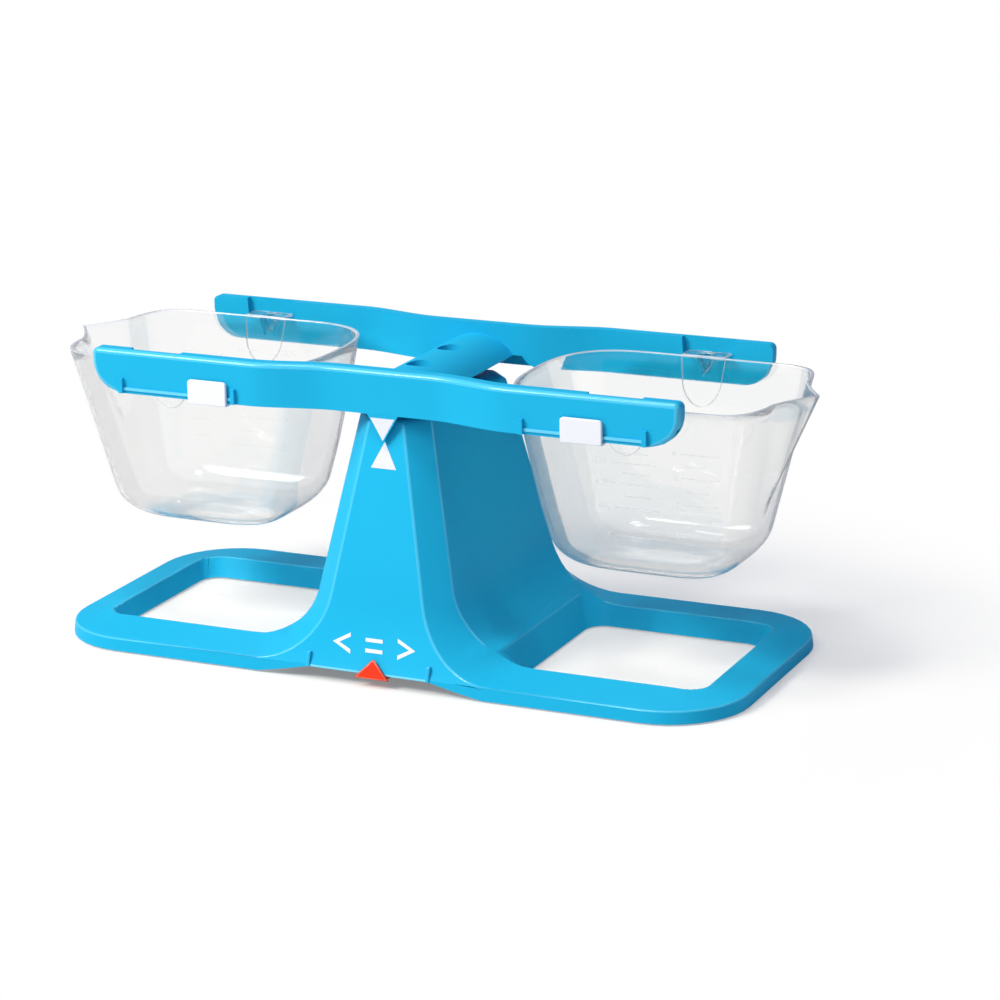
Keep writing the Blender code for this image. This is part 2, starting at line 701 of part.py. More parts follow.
def make_bearing_screws(steel):
    made = []
    for side, word in ((-1, "front"), (1, "rear")):
        y = side * BEARING_Y
        head_top = TOWER_HEIGHT - STAND_WALL - GAP
        screw = cylinder(f"bearing_screw_head_{word}", SCREW_HEAD_RADIUS, (head_top - SCREW_HEAD_HEIGHT, head_top), 0.0, y)
        shank = (head_top - SCREW_HEAD_HEIGHT / 2, TOWER_HEIGHT + BEARING_FLANGE + BEARING_SCREW_GRIP)
        join(screw, cylinder(f"bearing_screw_shank_{word}", SCREW_RADIUS, shank, 0.0, y))
        made.append(piece(f"bearing_screw_{word}", screw, steel))
    return made


def knife_outline(grow):
    """Section of a knife edge, its point down on the fulcrum line."""
    half = KNIFE_HALF_WIDTH + grow
    point = FULCRUM - grow / math.sin(math.atan(KNIFE_SLOPE))
    shoulder = point + half / KNIFE_SLOPE
    top = FULCRUM + KNIFE_HEIGHT + 4 * grow
    return [(0.0, point), (half, shoulder), (half, top), (-half, top), (-half, shoulder)]


def make_knives(steel):
    made = []
    half = KNIFE_SEAT_HALF_LENGTH - GAP
    for side, word in ((-1, "front"), (1, "rear")):
        y = side * BEARING_Y
        knife = prism(f"knife_bar_{word}", knife_outline(0.0), (y - half, y + half), "Y")
        made.append(piece(f"knife_edge_{word}", knife, steel))
    return made


def make_carrier(plastic):
    """The plate under the saddle, with a cheek at each end of each knife edge and a window for each bearing."""
    reach = BEARING_Y + CHEEK_HALF_LENGTH
    carrier = box(
        "carrier_plate",
        (-CARRIER_HALF_WIDTH, CARRIER_HALF_WIDTH),
        (-reach, reach),
        (CARRIER_BOTTOM, CARRIER_TOP),
    )
    cheek_top = FULCRUM + CARRIER_CHEEK_RISE
    for side, word in ((-1, "front"), (1, "rear")):
        y = side * BEARING_Y
        block = box(
            f"carrier_cheeks_{word}",
            (-CARRIER_CHEEK_HALF_WIDTH, CARRIER_CHEEK_HALF_WIDTH),
            (y - CHEEK_HALF_LENGTH + GAP / 3, y + CHEEK_HALF_LENGTH - GAP / 3),
            (CARRIER_BOTTOM + CARRIER_PLATE / 2, cheek_top),
        )
        join(carrier, block)
        boss = (CARRIER_BOTTOM - CARRIER_BOSS_DROP, CARRIER_TOP - CARRIER_PLATE / 2)
        join(carrier, cylinder(f"carrier_boss_{word}", CARRIER_BOSS_RADIUS, boss, 0.0, side * WELL_Y))
    for side, word in ((-1, "front"), (1, "rear")):
        y = side * BEARING_Y
        window = box(
            f"carrier_window_{word}",
            (-WINDOW_HALF_WIDTH, WINDOW_HALF_WIDTH),
            (y - WINDOW_HALF_LENGTH, y + WINDOW_HALF_LENGTH),
            (CARRIER_BOTTOM - CARRIER_PLATE, cheek_top + CARRIER_PLATE),
        )
        bridge = box(
            f"carrier_bridge_{word}",
            (-CARRIER_HALF_WIDTH, CARRIER_HALF_WIDTH),
            (y - WINDOW_HALF_LENGTH, y + WINDOW_HALF_LENGTH),
            (CARRIER_TOP, cheek_top + CARRIER_PLATE),
        )
        cut(carrier, window, bridge)
        seat = (y - KNIFE_SEAT_HALF_LENGTH, y + KNIFE_SEAT_HALF_LENGTH)
        cut(carrier, prism(f"knife_seat_{word}", knife_outline(GAP), seat, "Y"))
        hole = (CARRIER_BOTTOM - 2 * CARRIER_BOSS_DROP, CARRIER_TOP + CARRIER_PLATE)
        cut(carrier, cylinder(f"carrier_hole_{word}", SCREW_HOLE_RADIUS, hole, 0.0, side * WELL_Y))
    return piece("pivot_carrier", carrier, plastic)


def make_carrier_screws(steel):
    made = []
    for side, word in ((-1, "front"), (1, "rear")):
        y = side * WELL_Y
        low = WELL_FLOOR_TOP + GAP
        screw = cylinder(f"carrier_screw_head_{word}", SCREW_HEAD_RADIUS, (low, low + SCREW_HEAD_HEIGHT), 0.0, y)
        shank = (CARRIER_BOTTOM - CARRIER_BOSS_DROP + GAP, low + SCREW_HEAD_HEIGHT / 2)
        join(screw, cylinder(f"carrier_screw_shank_{word}", SCREW_RADIUS, shank, 0.0, y))
        made.append(piece(f"carrier_screw_{word}", screw, steel))
    return made


def arm_depth(x):
    """Depth of an arm's outer face along the beam."""
    share = (abs(x) - ARM_NECK_START) / (ARM_NECK_END - ARM_NECK_START)
    return ARM_MIDDLE_DEPTH + (ARM_END_DEPTH - ARM_MIDDLE_DEPTH) * ease(share)


def arm_plan(side, reach, outer_wall, inner_wall):
    """Plan outline of an arm, shrunk by a wall on its outer and inner face."""
    stations = [-reach]
    for step in range(2 * CORNER_STEPS + 1):
        share = step / (2 * CORNER_STEPS)
        stations.append(-(ARM_NECK_END + (ARM_NECK_START - ARM_NECK_END) * share))
    stations = stations + [-x for x in reversed(stations)]
    outer = [(x, side * (arm_depth(x) - outer_wall)) for x in stations]
    inner = [(x, side * (arm_depth(x) - ARM_THICKNESS + inner_wall)) for x in stations]
    return outer + list(reversed(inner))


def arm_side_outline():
    """Side view of the arms, with small round corners above and large ones below."""
    points = []
    corners = (
        (ARM_TOP_CORNER, ARM_TOP - ARM_TOP_CORNER, 1, 0.0),
        (ARM_TOP_CORNER, ARM_TOP - ARM_TOP_CORNER, -1, 0.5),
        (ARM_FOOT_CORNER, ARM_BOTTOM + ARM_FOOT_CORNER, -1, 1.0),
        (ARM_FOOT_CORNER, ARM_BOTTOM + ARM_FOOT_CORNER, 1, 1.5),
    )
    for radius, z, side, turn in corners:
        for step in range(CORNER_STEPS + 1):
            angle = math.pi * (turn + 0.5 * step / CORNER_STEPS)
            x = side * (ARM_HALF_LENGTH - radius) + radius * math.cos(angle)
            points.append((x, z + radius * math.sin(angle)))
    return points


def saddle_height(x, radius=SADDLE_RADIUS):
    return SADDLE_CENTRE + math.sqrt(radius * radius - x * x)


def saddle_outline():
    """Section of the saddle: a round arch of even wall."""
    points = []
    for radius, order in ((SADDLE_RADIUS, 1), (SADDLE_RADIUS - SADDLE_WALL, -1)):
        half_angle = math.asin(SADDLE_HALF_SPAN / SADDLE_RADIUS)
        for step in range(ARC_STEPS + 1):
            angle = order * half_angle * (1.0 - 2.0 * step / ARC_STEPS)
            points.append((radius * math.sin(angle), SADDLE_CENTRE + radius * math.cos(angle)))
    return points


def notch_outline(margin):
    """The scoop in the arms' inner walls that clears the tower when the beam rocks."""
    lowest = ARM_BOTTOM - margin
    rise = [(ARM_NOTCH_HALF_WIDTH, lowest)]
    half_turn = math.acos(1.0 - ARM_NOTCH_HEIGHT / ARM_NOTCH_CORNER)
    for step in range(CORNER_STEPS + 1):
        angle = half_turn * step / CORNER_STEPS
        x = ARM_NOTCH_HALF_WIDTH - ARM_NOTCH_CORNER * math.sin(angle)
        rise.append((x, ARM_BOTTOM + ARM_NOTCH_CORNER * (1.0 - math.cos(angle))))
    return rise + [(-x, z) for x, z in reversed(rise)]


def pocket_outline(x, margin):
    """The open pocket for a hanger: its shelf falls a little to the V groove."""
    shelf = HANGER_LINE + POCKET_SHELF_RISE
    top = ARM_TOP + margin
    half = POCKET_HALF_WIDTH
    return [
        (x - half - POCKET_SLANT, top),
        (x - half, shelf),
        (x - GROOVE_HALF_WIDTH, shelf - GAP),
        (x, HANGER_LINE - GAP),
        (x + GROOVE_HALF_WIDTH, shelf - GAP),
        (x + half, shelf),
        (x + half + POCKET_SLANT, top),
    ]


def make_beam(blue):
    """Both arms, the saddle between them and the pointer tab: one moulding, open beneath."""
    margin = 0.002
    beam = prism("front_arm", arm_plan(-1, ARM_HALF_LENGTH, 0.0, 0.0), (ARM_BOTTOM, ARM_TOP), "Z")
    join(beam, prism("rear_arm", arm_plan(1, ARM_HALF_LENGTH, 0.0, 0.0), (ARM_BOTTOM, ARM_TOP), "Z"))
    sides = prism("arm_side_view", arm_side_outline(), (-2 * ARM_END_DEPTH, 2 * ARM_END_DEPTH), "Y")
    boolean(beam, sides, "INTERSECT")

    block = POCKET_HALF_WIDTH + POCKET_SLANT + POCKET_BLOCK_MARGIN
    channel = (ARM_BOTTOM - margin, ARM_TOP - ARM_TOP_WALL)
    for side, word in ((-1, "front"), (1, "rear")):
        plan = arm_plan(side, HANGER_X - block, ARM_WALL, ARM_WALL)
        solids = [prism(f"channel_{word}", plan, channel, "Z")]
        for end in (-1, 1):
            x = sorted((end * (HANGER_X + block), end * (ARM_HALF_LENGTH - ARM_WALL)))
            y = sorted((side * (ARM_INNER_END + ARM_WALL), side * (ARM_END_DEPTH - ARM_WALL)))
            low_corner = ARM_BOTTOM + ARM_WALL
            solids.append(box(f"end_channel_{word}_{end}", x, y, (low_corner, channel[1])))
        cut(beam, merged(f"channels_{word}", solids))
        slots = []
        for end in (-1, 1):
            x = sorted((end * (HANGER_X - block - margin), end * (HANGER_X + block + margin)))
            y = sorted((side * POCKET_BACK, side * (ARM_END_DEPTH - ARM_WALL)))
            slots.append(box(f"hook_slot_{word}_{end}", x, y, (channel[0], ARM_BOTTOM + SLIDER_HOOK_RISE + margin)))
        cut(beam, merged(f"hook_slots_{word}", slots))
        pockets = []
        y = sorted((side * (ARM_INNER_END - margin), side * (ARM_INNER_END + POCKET_DEPTH)))
        for end in (-1, 1):
            pockets.append(prism(f"pocket_{word}_{end}", pocket_outline(end * HANGER_X, margin), y, "Y"))
        cut(beam, merged(f"pockets_{word}", pockets))
        y = sorted((side * (ARM_INNER_MIDDLE - margin), side * (ARM_INNER_MIDDLE + ARM_WALL + margin / 2)))
        cut(beam, prism(f"notch_{word}", notch_outline(margin), y, "Y"))

    saddle_reach = ARM_INNER_MIDDLE + ARM_WALL / 2
    join(beam, prism("saddle", saddle_outline(), (-saddle_reach, saddle_reach), "Y"))
    well_outer = WELL_RADIUS + WELL_WALL
    for side, word in ((-1, "front"), (1, "rear")):
        y = side * WELL_Y
        boss = (WELL_FLOOR_BOTTOM, saddle_height(well_outer) - 2 * GAP)
        join(beam, cylinder(f"well_wall_{word}", well_outer, boss, 0.0, y))
    for side, word in ((-1, "front"), (1, "rear")):
        y = side * WELL_Y
        cut(beam, cylinder(f"well_{word}", WELL_RADIUS, (WELL_FLOOR_TOP, ARM_TOP), 0.0, y))
        hole = (WELL_FLOOR_BOTTOM - margin, WELL_FLOOR_TOP + margin)
        cut(beam, cylinder(f"well_hole_{word}", SCREW_HOLE_RADIUS, hole, 0.0, y))

    tab_top = ARM_BOTTOM + ARM_WALL
    spread = TAB_HALF_WIDTH * (1.0 + ARM_WALL / TAB_LENGTH)
    tab = [(-spread, tab_top), (0.0, ARM_BOTTOM - TAB_LENGTH), (spread, tab_top)]
    tab_faces = (-(ARM_MIDDLE_DEPTH - GAP / 3), -(ARM_MIDDLE_DEPTH - ARM_WALL + GAP / 3))
    join(beam, prism("pointer_tab", tab, tab_faces, "Y"))

    inside = -(ARM_END_DEPTH - ARM_WALL / 2)
    for end, word in ((-1, "left"), (1, "right")):
        x = sorted((end * SLIDE_INNER_STOP, end * SLIDE_OUTER_STOP))
        rail_low = ARM_BOTTOM + SLIDE_RAIL_RISE
        rail = box(
            f"slide_rail_{word}",
            x,
            (-(ARM_END_DEPTH + SLIDE_RAIL_PROUD), inside),
            (rail_low, rail_low + SLIDE_RAIL_HEIGHT),
        )
        join(beam, rail)
        stops = []
        for place in x:
            stops.append(
                box(
                    f"slide_stop_{word}_{place:.3f}",
                    (place - SLIDE_STOP_WIDTH / 2, place + SLIDE_STOP_WIDTH / 2),
                    (-(ARM_END_DEPTH + SLIDE_STOP_PROUD), inside),
                    (ARM_BOTTOM + GAP, ARM_BOTTOM + SLIDE_STOP_HEIGHT),
                )
            )
        join(beam, merged(f"slide_stops_{word}", stops))
    return piece("beam", beam, blue)


def make_sliders(white):
    """Clips over the front arm's lower edge, their hooks up inside the arm."""
    low = ARM_BOTTOM - GAP - SLIDER_WALL
    floor = ARM_BOTTOM - GAP
    hook_top = floor + SLIDER_HOOK_RISE
    front = SLIDER_PLATE_IN + SLIDER_PLATE
    section = [
        (-front, low),
        (-SLIDER_HOOK_IN, low),
        (-SLIDER_HOOK_IN, hook_top),
        (-SLIDER_HOOK_OUT, hook_top),
        (-SLIDER_HOOK_OUT, floor),
        (-SLIDER_PLATE_IN, floor),
        (-SLIDER_PLATE_IN, low + SLIDER_HEIGHT),
        (-front, low + SLIDER_HEIGHT),
    ]
    made = []
    for x, word in ((-SLIDER_LEFT_X, "left"), (SLIDER_RIGHT_X, "right")):
        slider = prism(f"slider_clip_{word}", section, (x - SLIDER_WIDTH / 2, x + SLIDER_WIDTH / 2), "X")
        made.append(piece(f"slider_{word}", slider, white))
    return made


def spout_reach(y, height):
    """How far the pouring spout stands out of the bucket's outer end."""
    depth = (RIM_LINE - height) / SPOUT_DEPTH
    if depth >= 1.0:
        return 0.0
    half_width = SPOUT_HALF_WIDTH * (1.0 - depth)
    return SPOUT_REACH * (1.0 - depth) * max(0.0, 1.0 - abs(y) / half_width)


def bucket_ring(height, inset):
    """Plan outline of the right bucket at a height, moved in by an inset, counter-clockwise from above."""
    fall = RIM_LINE - height
    inner = HANGER_X - BUCKET_INNER_X + BUCKET_INNER_TAPER * fall + inset
    outer = HANGER_X + BUCKET_OUTER_X - BUCKET_OUTER_TAPER * fall - inset
    half = BUCKET_HALF_WIDTH - BUCKET_SIDE_TAPER * fall - inset
    right = []
    half_spout = SPOUT_HALF_WIDTH
    end_angle = math.asin(min(1.0, half_spout / half) ** (OUTER_SQUARENESS / 2))
    for step in range(SPOUT_STEPS):
        y = half_spout * step / SPOUT_STEPS
        sine = (y / half) ** (OUTER_SQUARENESS / 2)
        x = outer - BUCKET_OUTER_ROUND * (1.0 - math.cos(math.asin(sine)) ** (2 / OUTER_SQUARENESS))
        right.append((x + spout_reach(y, height), y))
    for step in range(BUCKET_CORNER_STEPS + 1):
        angle = end_angle + (math.pi / 2 - end_angle) * step / BUCKET_CORNER_STEPS
        x = outer - BUCKET_OUTER_ROUND * (1.0 - max(0.0, math.cos(angle)) ** (2 / OUTER_SQUARENESS))
        right.append((x, half * math.sin(angle) ** (2 / OUTER_SQUARENESS)))
    left = []
    for step in range(BUCKET_CORNER_STEPS + 1):
        angle = math.pi / 2 * (1.0 - step / BUCKET_CORNER_STEPS)
        x = inner + BUCKET_INNER_ROUND * (1.0 - max(0.0, math.cos(angle)) ** (2 / INNER_SQUARENESS))
        left.append((x, half * math.sin(angle) ** (2 / INNER_SQUARENESS)))
    upper = right + left
    lower = [(x, -y) for x, y in reversed(upper[1:-1])]
    return [(x, y, height) for x, y in upper + lower]


def bucket_rings():
    """Rings up the outside, over the rim and down the inside of the right bucket."""
    bottom = RIM_LINE - BUCKET_HEIGHT
    rings = []
    for inset, order in ((0.0, 1), (BUCKET_WALL, -1)):
        floor = bottom + inset
        radius = BUCKET_FOOT_RADIUS - inset
        skin = []
        for step in range(BUCKET_FOOT_STEPS):
            angle = 0.5 * math.pi * step / BUCKET_FOOT_STEPS
            drawn_in = radius * (1.0 - math.sin(angle))
            skin.append(bucket_ring(floor + radius * (1.0 - math.cos(angle)), inset + drawn_in))
        for step in range(BUCKET_WALL_STEPS + 1):
            start = floor + radius
            height = start + (RIM_LINE - start) * step / BUCKET_WALL_STEPS
            skin.append(bucket_ring(height, inset))
        rings += skin if order > 0 else list(reversed(skin))
    return rings


def pad_outline():
    """The U-shaped pad under a hanger, in x and z from the rim down."""
    points = []
    for step in range(2 * CORNER_STEPS + 1):
        angle = math.pi * (1.0 + step / (2 * CORNER_STEPS))
        z = -PAD_HEIGHT + PAD_HALF_WIDTH * (1.0 + math.sin(angle))
        points.append((HANGER_X + PAD_HALF_WIDTH * math.cos(angle), z))
    top = -HANGER_PLATE / 2
    return [(HANGER_X - PAD_HALF_WIDTH, top)] + points + [(HANGER_X + PAD_HALF_WIDTH, top)]


def make_bucket(side, word, clear):
    """One bucket with its spout, two hanger plates, their knife ribs and the pads that carry them."""
    flip = Matrix.Diagonal((side, 1.0, 1.0, 1.0))
    drawn = loft(f"bucket_skin_{word}", bucket_rings())
    bucket = copied(f"bucket_body_{word}", drawn, flip)
    bpy.data.objects.remove(drawn, do_unlink=True)
    tilt = math.atan(BUCKET_SIDE_TAPER)
    rib = [
        (HANGER_X - HANGER_RIB_HALF_WIDTH, HANGER_LINE + HANGER_RIB_HEIGHT),
        (HANGER_X, HANGER_LINE),
        (HANGER_X + HANGER_RIB_HALF_WIDTH, HANGER_LINE + HANGER_RIB_HEIGHT),
    ]
    plate_top = RIM_LINE + HANGER_PLATE / 4
    for row, edge in ((-1, "front"), (1, "rear")):
        name = f"{word}_{edge}"
        y = sorted((row * (BUCKET_HALF_WIDTH - BUCKET_WALL / 2), row * HANGER_TIP))
        x = (HANGER_X - HANGER_HALF_WIDTH, HANGER_X + HANGER_HALF_WIDTH)
        plate = box(f"hanger_plate_{name}", x, y, (plate_top - HANGER_PLATE, plate_top))
        knife_y = sorted((row * (BUCKET_HALF_WIDTH - BUCKET_WALL * 0.8), row * (HANGER_TIP - GAP)))
        knife = prism(f"hanger_rib_{name}", rib, knife_y, "Y")
        thickness = (-BUCKET_WALL / 2, PAD_PROUD)
        pad = prism(f"hanger_pad_{name}", pad_outline(), sorted((row * thickness[0], row * thickness[1])), "Y")
        pad.data.transform(
            Matrix.Translation((0.0, row * BUCKET_HALF_WIDTH, RIM_LINE)) @ Matrix.Rotation(-row * tilt, 4, "X")
        )
        for drawn in (pad, plate, knife):
            join(bucket, copied(drawn.name + "_placed", drawn, flip))
            bpy.data.objects.remove(drawn, do_unlink=True)
    return piece(f"bucket_{word}", bucket, clear)


clear_scene()
PIECES = collection("bucket_balance")
CUTTERS = collection("cutters")

blue_plastic = material("blue_plastic", (0.01, 0.42, 0.76), 0.42)
clear_plastic = material("clear_plastic", (0.92, 0.95, 0.96), 0.06, alpha=0.35)
white_plastic = material("white_plastic", (0.9, 0.9, 0.9), 0.4)
red_plastic = material("red_plastic", (0.86, 0.06, 0.02), 0.4)
dark_plastic = material("dark_plastic", (0.03, 0.03, 0.035), 0.5)
black_rubber = material("black_rubber", (0.02, 0.02, 0.02), 0.8)
bright_steel = material("bright_steel", (0.62, 0.62, 0.63), 0.3, metallic=1.0)

foot_of_stand = pivot("foot_of_stand", (0.0, 0.0, 0.0))
foot_of_stand.location = (0.0, (MARKER_FRONT - BASE_HALF_DEPTH) / 2, FOOT_LIFT)
beam_pivot = pivot("beam_pivot", (0.0, 0.0, FULCRUM), foot_of_stand)
marker_slide = pivot("marker_slide", (MARKER_X, -BASE_HALF_DEPTH, ARCH_HEIGHT), foot_of_stand)
slide_left = pivot("slide_left", (-SLIDER_LEFT_X, -ARM_END_DEPTH, ARM_BOTTOM), beam_pivot)
slide_right = pivot("slide_right", (SLIDER_RIGHT_X, -ARM_END_DEPTH, ARM_BOTTOM), beam_pivot)
bucket_pivot_left = pivot("bucket_pivot_left", (-HANGER_X, 0.0, HANGER_LINE), beam_pivot)
bucket_pivot_right = pivot("bucket_pivot_right", (HANGER_X, 0.0, HANGER_LINE), beam_pivot)

carry(foot_of_stand, make_stand(blue_plastic), *make_feet(black_rubber))
carry(foot_of_stand, *make_bearings(bright_steel), *make_bearing_screws(bright_steel))
carry(marker_slide, make_marker(red_plastic))
carry(beam_pivot, make_beam(blue_plastic), make_carrier(dark_plastic))
carry(beam_pivot, *make_knives(bright_steel), *make_carrier_screws(bright_steel))
left_slider, right_slider = make_sliders(white_plastic)
carry(slide_left, left_slider)
carry(slide_right, right_slider)
carry(bucket_pivot_left, make_bucket(-1, "left", clear_plastic))
carry(bucket_pivot_right, make_bucket(1, "right", clear_plastic))
for solid in PIECES.objects:
    if solid.type == "MESH":
        smooth(solid)
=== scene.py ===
import math

import bmesh
import bpy
from mathutils import Matrix, Vector


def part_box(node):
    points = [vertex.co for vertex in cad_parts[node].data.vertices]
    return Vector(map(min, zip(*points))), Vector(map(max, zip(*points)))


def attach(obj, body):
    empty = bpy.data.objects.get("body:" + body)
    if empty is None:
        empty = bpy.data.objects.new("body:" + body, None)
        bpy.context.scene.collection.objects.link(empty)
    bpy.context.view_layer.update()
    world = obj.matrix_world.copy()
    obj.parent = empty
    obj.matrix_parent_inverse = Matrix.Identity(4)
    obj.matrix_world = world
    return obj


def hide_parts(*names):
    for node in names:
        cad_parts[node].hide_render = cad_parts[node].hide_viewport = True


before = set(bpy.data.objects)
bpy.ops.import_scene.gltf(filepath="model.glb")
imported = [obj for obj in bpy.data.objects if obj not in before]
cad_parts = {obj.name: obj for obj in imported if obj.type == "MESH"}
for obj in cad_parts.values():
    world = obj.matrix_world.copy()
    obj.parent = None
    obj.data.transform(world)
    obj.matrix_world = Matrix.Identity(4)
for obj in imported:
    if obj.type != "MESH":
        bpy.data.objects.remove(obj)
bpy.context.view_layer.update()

# Camera
# Stands to the front right of the balance and looks a little down, with a long lens.
# Its place and its turn were solved from edges and corners of the photo.

CAMERA_TURN = 0.43092
CAMERA_DIP = 0.28222
CAMERA_ROLL = -0.0156
CAMERA_AWAY = 1.9958
CAMERA_AIM = Vector((0.0409, 0.00097, 0.08937))
CAMERA_LENS = 123.07

bpy.ops.object.select_all(action="DESELECT")
along = Vector((
    -math.sin(CAMERA_TURN) * math.cos(CAMERA_DIP),
    math.cos(CAMERA_TURN) * math.cos(CAMERA_DIP),
    -math.sin(CAMERA_DIP),
))
across = Vector((math.cos(CAMERA_TURN), math.sin(CAMERA_TURN), 0.0))
upright = across.cross(along)
right = across * math.cos(CAMERA_ROLL) + upright * math.sin(CAMERA_ROLL)
upward = upright * math.cos(CAMERA_ROLL) - across * math.sin(CAMERA_ROLL)
turned = Matrix((right, upward, -along)).transposed()
bpy.ops.object.camera_add(location=CAMERA_AIM - along * CAMERA_AWAY, rotation=turned.to_euler())
camera = bpy.context.object
camera.data.lens = CAMERA_LENS
camera.data.sensor_width = 36.0
camera.data.clip_end = 20.0
bpy.context.scene.camera = camera

# Stand
# One hollow injection moulding in satin blue plastic: the ring foot sweeps up into a four-sided tower.
# Its creases are rounded off in a lighter blue, a painted highlight, and it stands open beneath on four rubber
# feet.
# The marker's short rail, low on its front edge, has a stop at each end; the rail's front is a paler blue, a
# painted highlight.

STAND_HALF_DEPTH = 0.09675
STAND_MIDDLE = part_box("stand")[1][1] - STAND_HALF_DEPTH
BLUE = (0.014, 0.460, 0.722)
BLUE_PALE = (0.020, 0.485, 0.747)
# Lighter blues for the rounded creases: a painted highlight.
BLUE_PAINTED_HIGHLIGHT = (0.055, 0.545, 0.80)
BLUE_PAINTED_HIGHLIGHT_PALE = (0.075, 0.575, 0.82)
# A paler blue for the marker rail's front: a painted highlight.
STAND_RAIL_PAINTED_HIGHLIGHT = (0.20, 0.78, 0.95)
STAND_RAIL_PAINTED_HIGHLIGHT_PALE = (0.22, 0.80, 0.96)
EDGE_ROUGHNESS = 0.22
EDGE_SHINE = 0.45
MERGE_DISTANCE = 0.00002
FLAT_WITHIN = 0.15
NO_EDGE_BELOW = 3.0
SMOOTH_BELOW = 32.0
CREASE_ROUND = 0.0009
CREASE_SHARPNESS = 12.5
CREASE_SHORTEST = 0.0003
LEAST_RISE = 0.01
WALL_NORMAL = 0.85
NECK_X = (0.060, 0.080)
NECK_Y = (0.050, 0.072)
TOWER_SHOULDER = 0.146
STOP_X = 0.038
STOP_HALF = 0.0015
STOP_FRONT = -0.0905
STOP_LOW = 0.0085
STOP_SHARE = 0.55
MARKER_RAIL = (0.0076, 0.0095)
MARKER_RAIL_NORMAL = -0.8


class Tone:
    """A value in a material's nodes, on which sums can be written."""

    def __init__(self, tree, socket=None):
        self.tree = tree
        self.socket = socket

    def node(self, kind, settings=None, inputs=None, out=0):
        made = self.tree.nodes.new(kind)
        for name, value in (settings or {}).items():
            setattr(made, name, value)
        for name, value in (inputs or {}).items():
            if isinstance(value, Tone):
                self.tree.links.new(value.socket, made.inputs[name])
            else:
                made.inputs[name].default_value = value
        return Tone(self.tree, made.outputs[out])

    def sum(self, operation, first, second=0.0):
        return self.node("ShaderNodeMath", {"operation": operation}, {0: first, 1: second})

    def __add__(self, other):
        return self.sum("ADD", self, other)

    def __radd__(self, other):
        return self.sum("ADD", other, self)

    def __sub__(self, other):
        return self.sum("SUBTRACT", self, other)

    def __rsub__(self, other):
        return self.sum("SUBTRACT", other, self)

    def __mul__(self, other):
        return self.sum("MULTIPLY", self, other)

    def __rmul__(self, other):
        return self.sum("MULTIPLY", other, self)

    def mixed(self, low, high):
        """From one colour to another as this value goes from 0 to 1."""
        return self.node(
            "ShaderNodeMix",
            {"data_type": "RGBA"},
            {0: self, 6: (*low, 1.0), 7: (*high, 1.0)},
            out=2,
        )

    def into(self, shader, name):
        self.tree.links.new(self.socket, shader.inputs[name])


def plain_material(name):
    made = bpy.data.materials.new(name)
    made.use_nodes = True
    shader = made.node_tree.nodes["Principled BSDF"]
    place = Tone(made.node_tree).node("ShaderNodeTexCoord", out="Object")
    return made, shader, place


def cloud(place, scale, detail=3.0, roughness=0.5):
    """A noise pattern, with its features a metre over the scale in size."""
    return place.node(
        "ShaderNodeTexNoise",
        {"noise_dimensions": "3D"},
        {"Vector": place, "Scale": scale, "Detail": detail, "Roughness": roughness},
    )


def grained(height, shader, strength, distance):
    bump = height.node(
        "ShaderNodeBump", None, {"Height": height, "Strength": strength, "Distance": distance}
    )
    bump.into(shader, "Normal")


def satin_plastic(name, dark, pale, roughness, shine=0.09):
    """Moulded plastic with a fine spark-eroded skin, and faint clouds where it cooled."""
    made, shader, place = plain_material(name)
    clouds = cloud(place, scale=22.0)
    grain = cloud(place, scale=2600.0, detail=2.0)
    scuffs = cloud(place, scale=240.0, detail=5.0, roughness=0.7)
    clouds.mixed(dark, pale).into(shader, "Base Color")
    (roughness - 0.06 + clouds * 0.05 + scuffs * 0.07).into(shader, "Roughness")
    grained(grain * 0.7 + scuffs * 0.3, shader, strength=0.22, distance=0.00012)
    shader.inputs["IOR"].default_value = 1.47
    shader.inputs["Specular IOR Level"].default_value = shine
    return made


def select_only(*pieces):
    bpy.ops.object.select_all(action="DESELECT")
    for piece in pieces:
        piece.select_set(True)
    bpy.context.view_layer.objects.active = pieces[0]


def cleaned_copy(node, name):
    """A copy of a CAD solid, its points merged and its flat faces made whole, to round off."""
    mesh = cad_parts[node].data.copy()
    mesh.name = name
    copy = bpy.data.objects.new(name, mesh)
    bpy.context.scene.collection.objects.link(copy)
    select_only(copy)
    if mesh.has_custom_normals:
        bpy.ops.mesh.customdata_custom_splitnormals_clear()
    bpy.ops.object.mode_set(mode="EDIT")
    bpy.ops.mesh.select_all(action="SELECT")
    bpy.ops.mesh.remove_doubles(threshold=MERGE_DISTANCE)
    bpy.ops.mesh.dissolve_limited(angle_limit=math.radians(FLAT_WITHIN))
    bpy.ops.mesh.dissolve_degenerate(threshold=MERGE_DISTANCE)
    bpy.ops.object.mode_set(mode="OBJECT")
    return copy


def apply_modifiers(piece):
    select_only(piece)
    for modifier in list(piece.modifiers):
        bpy.ops.object.modifier_apply(modifier=modifier.name)


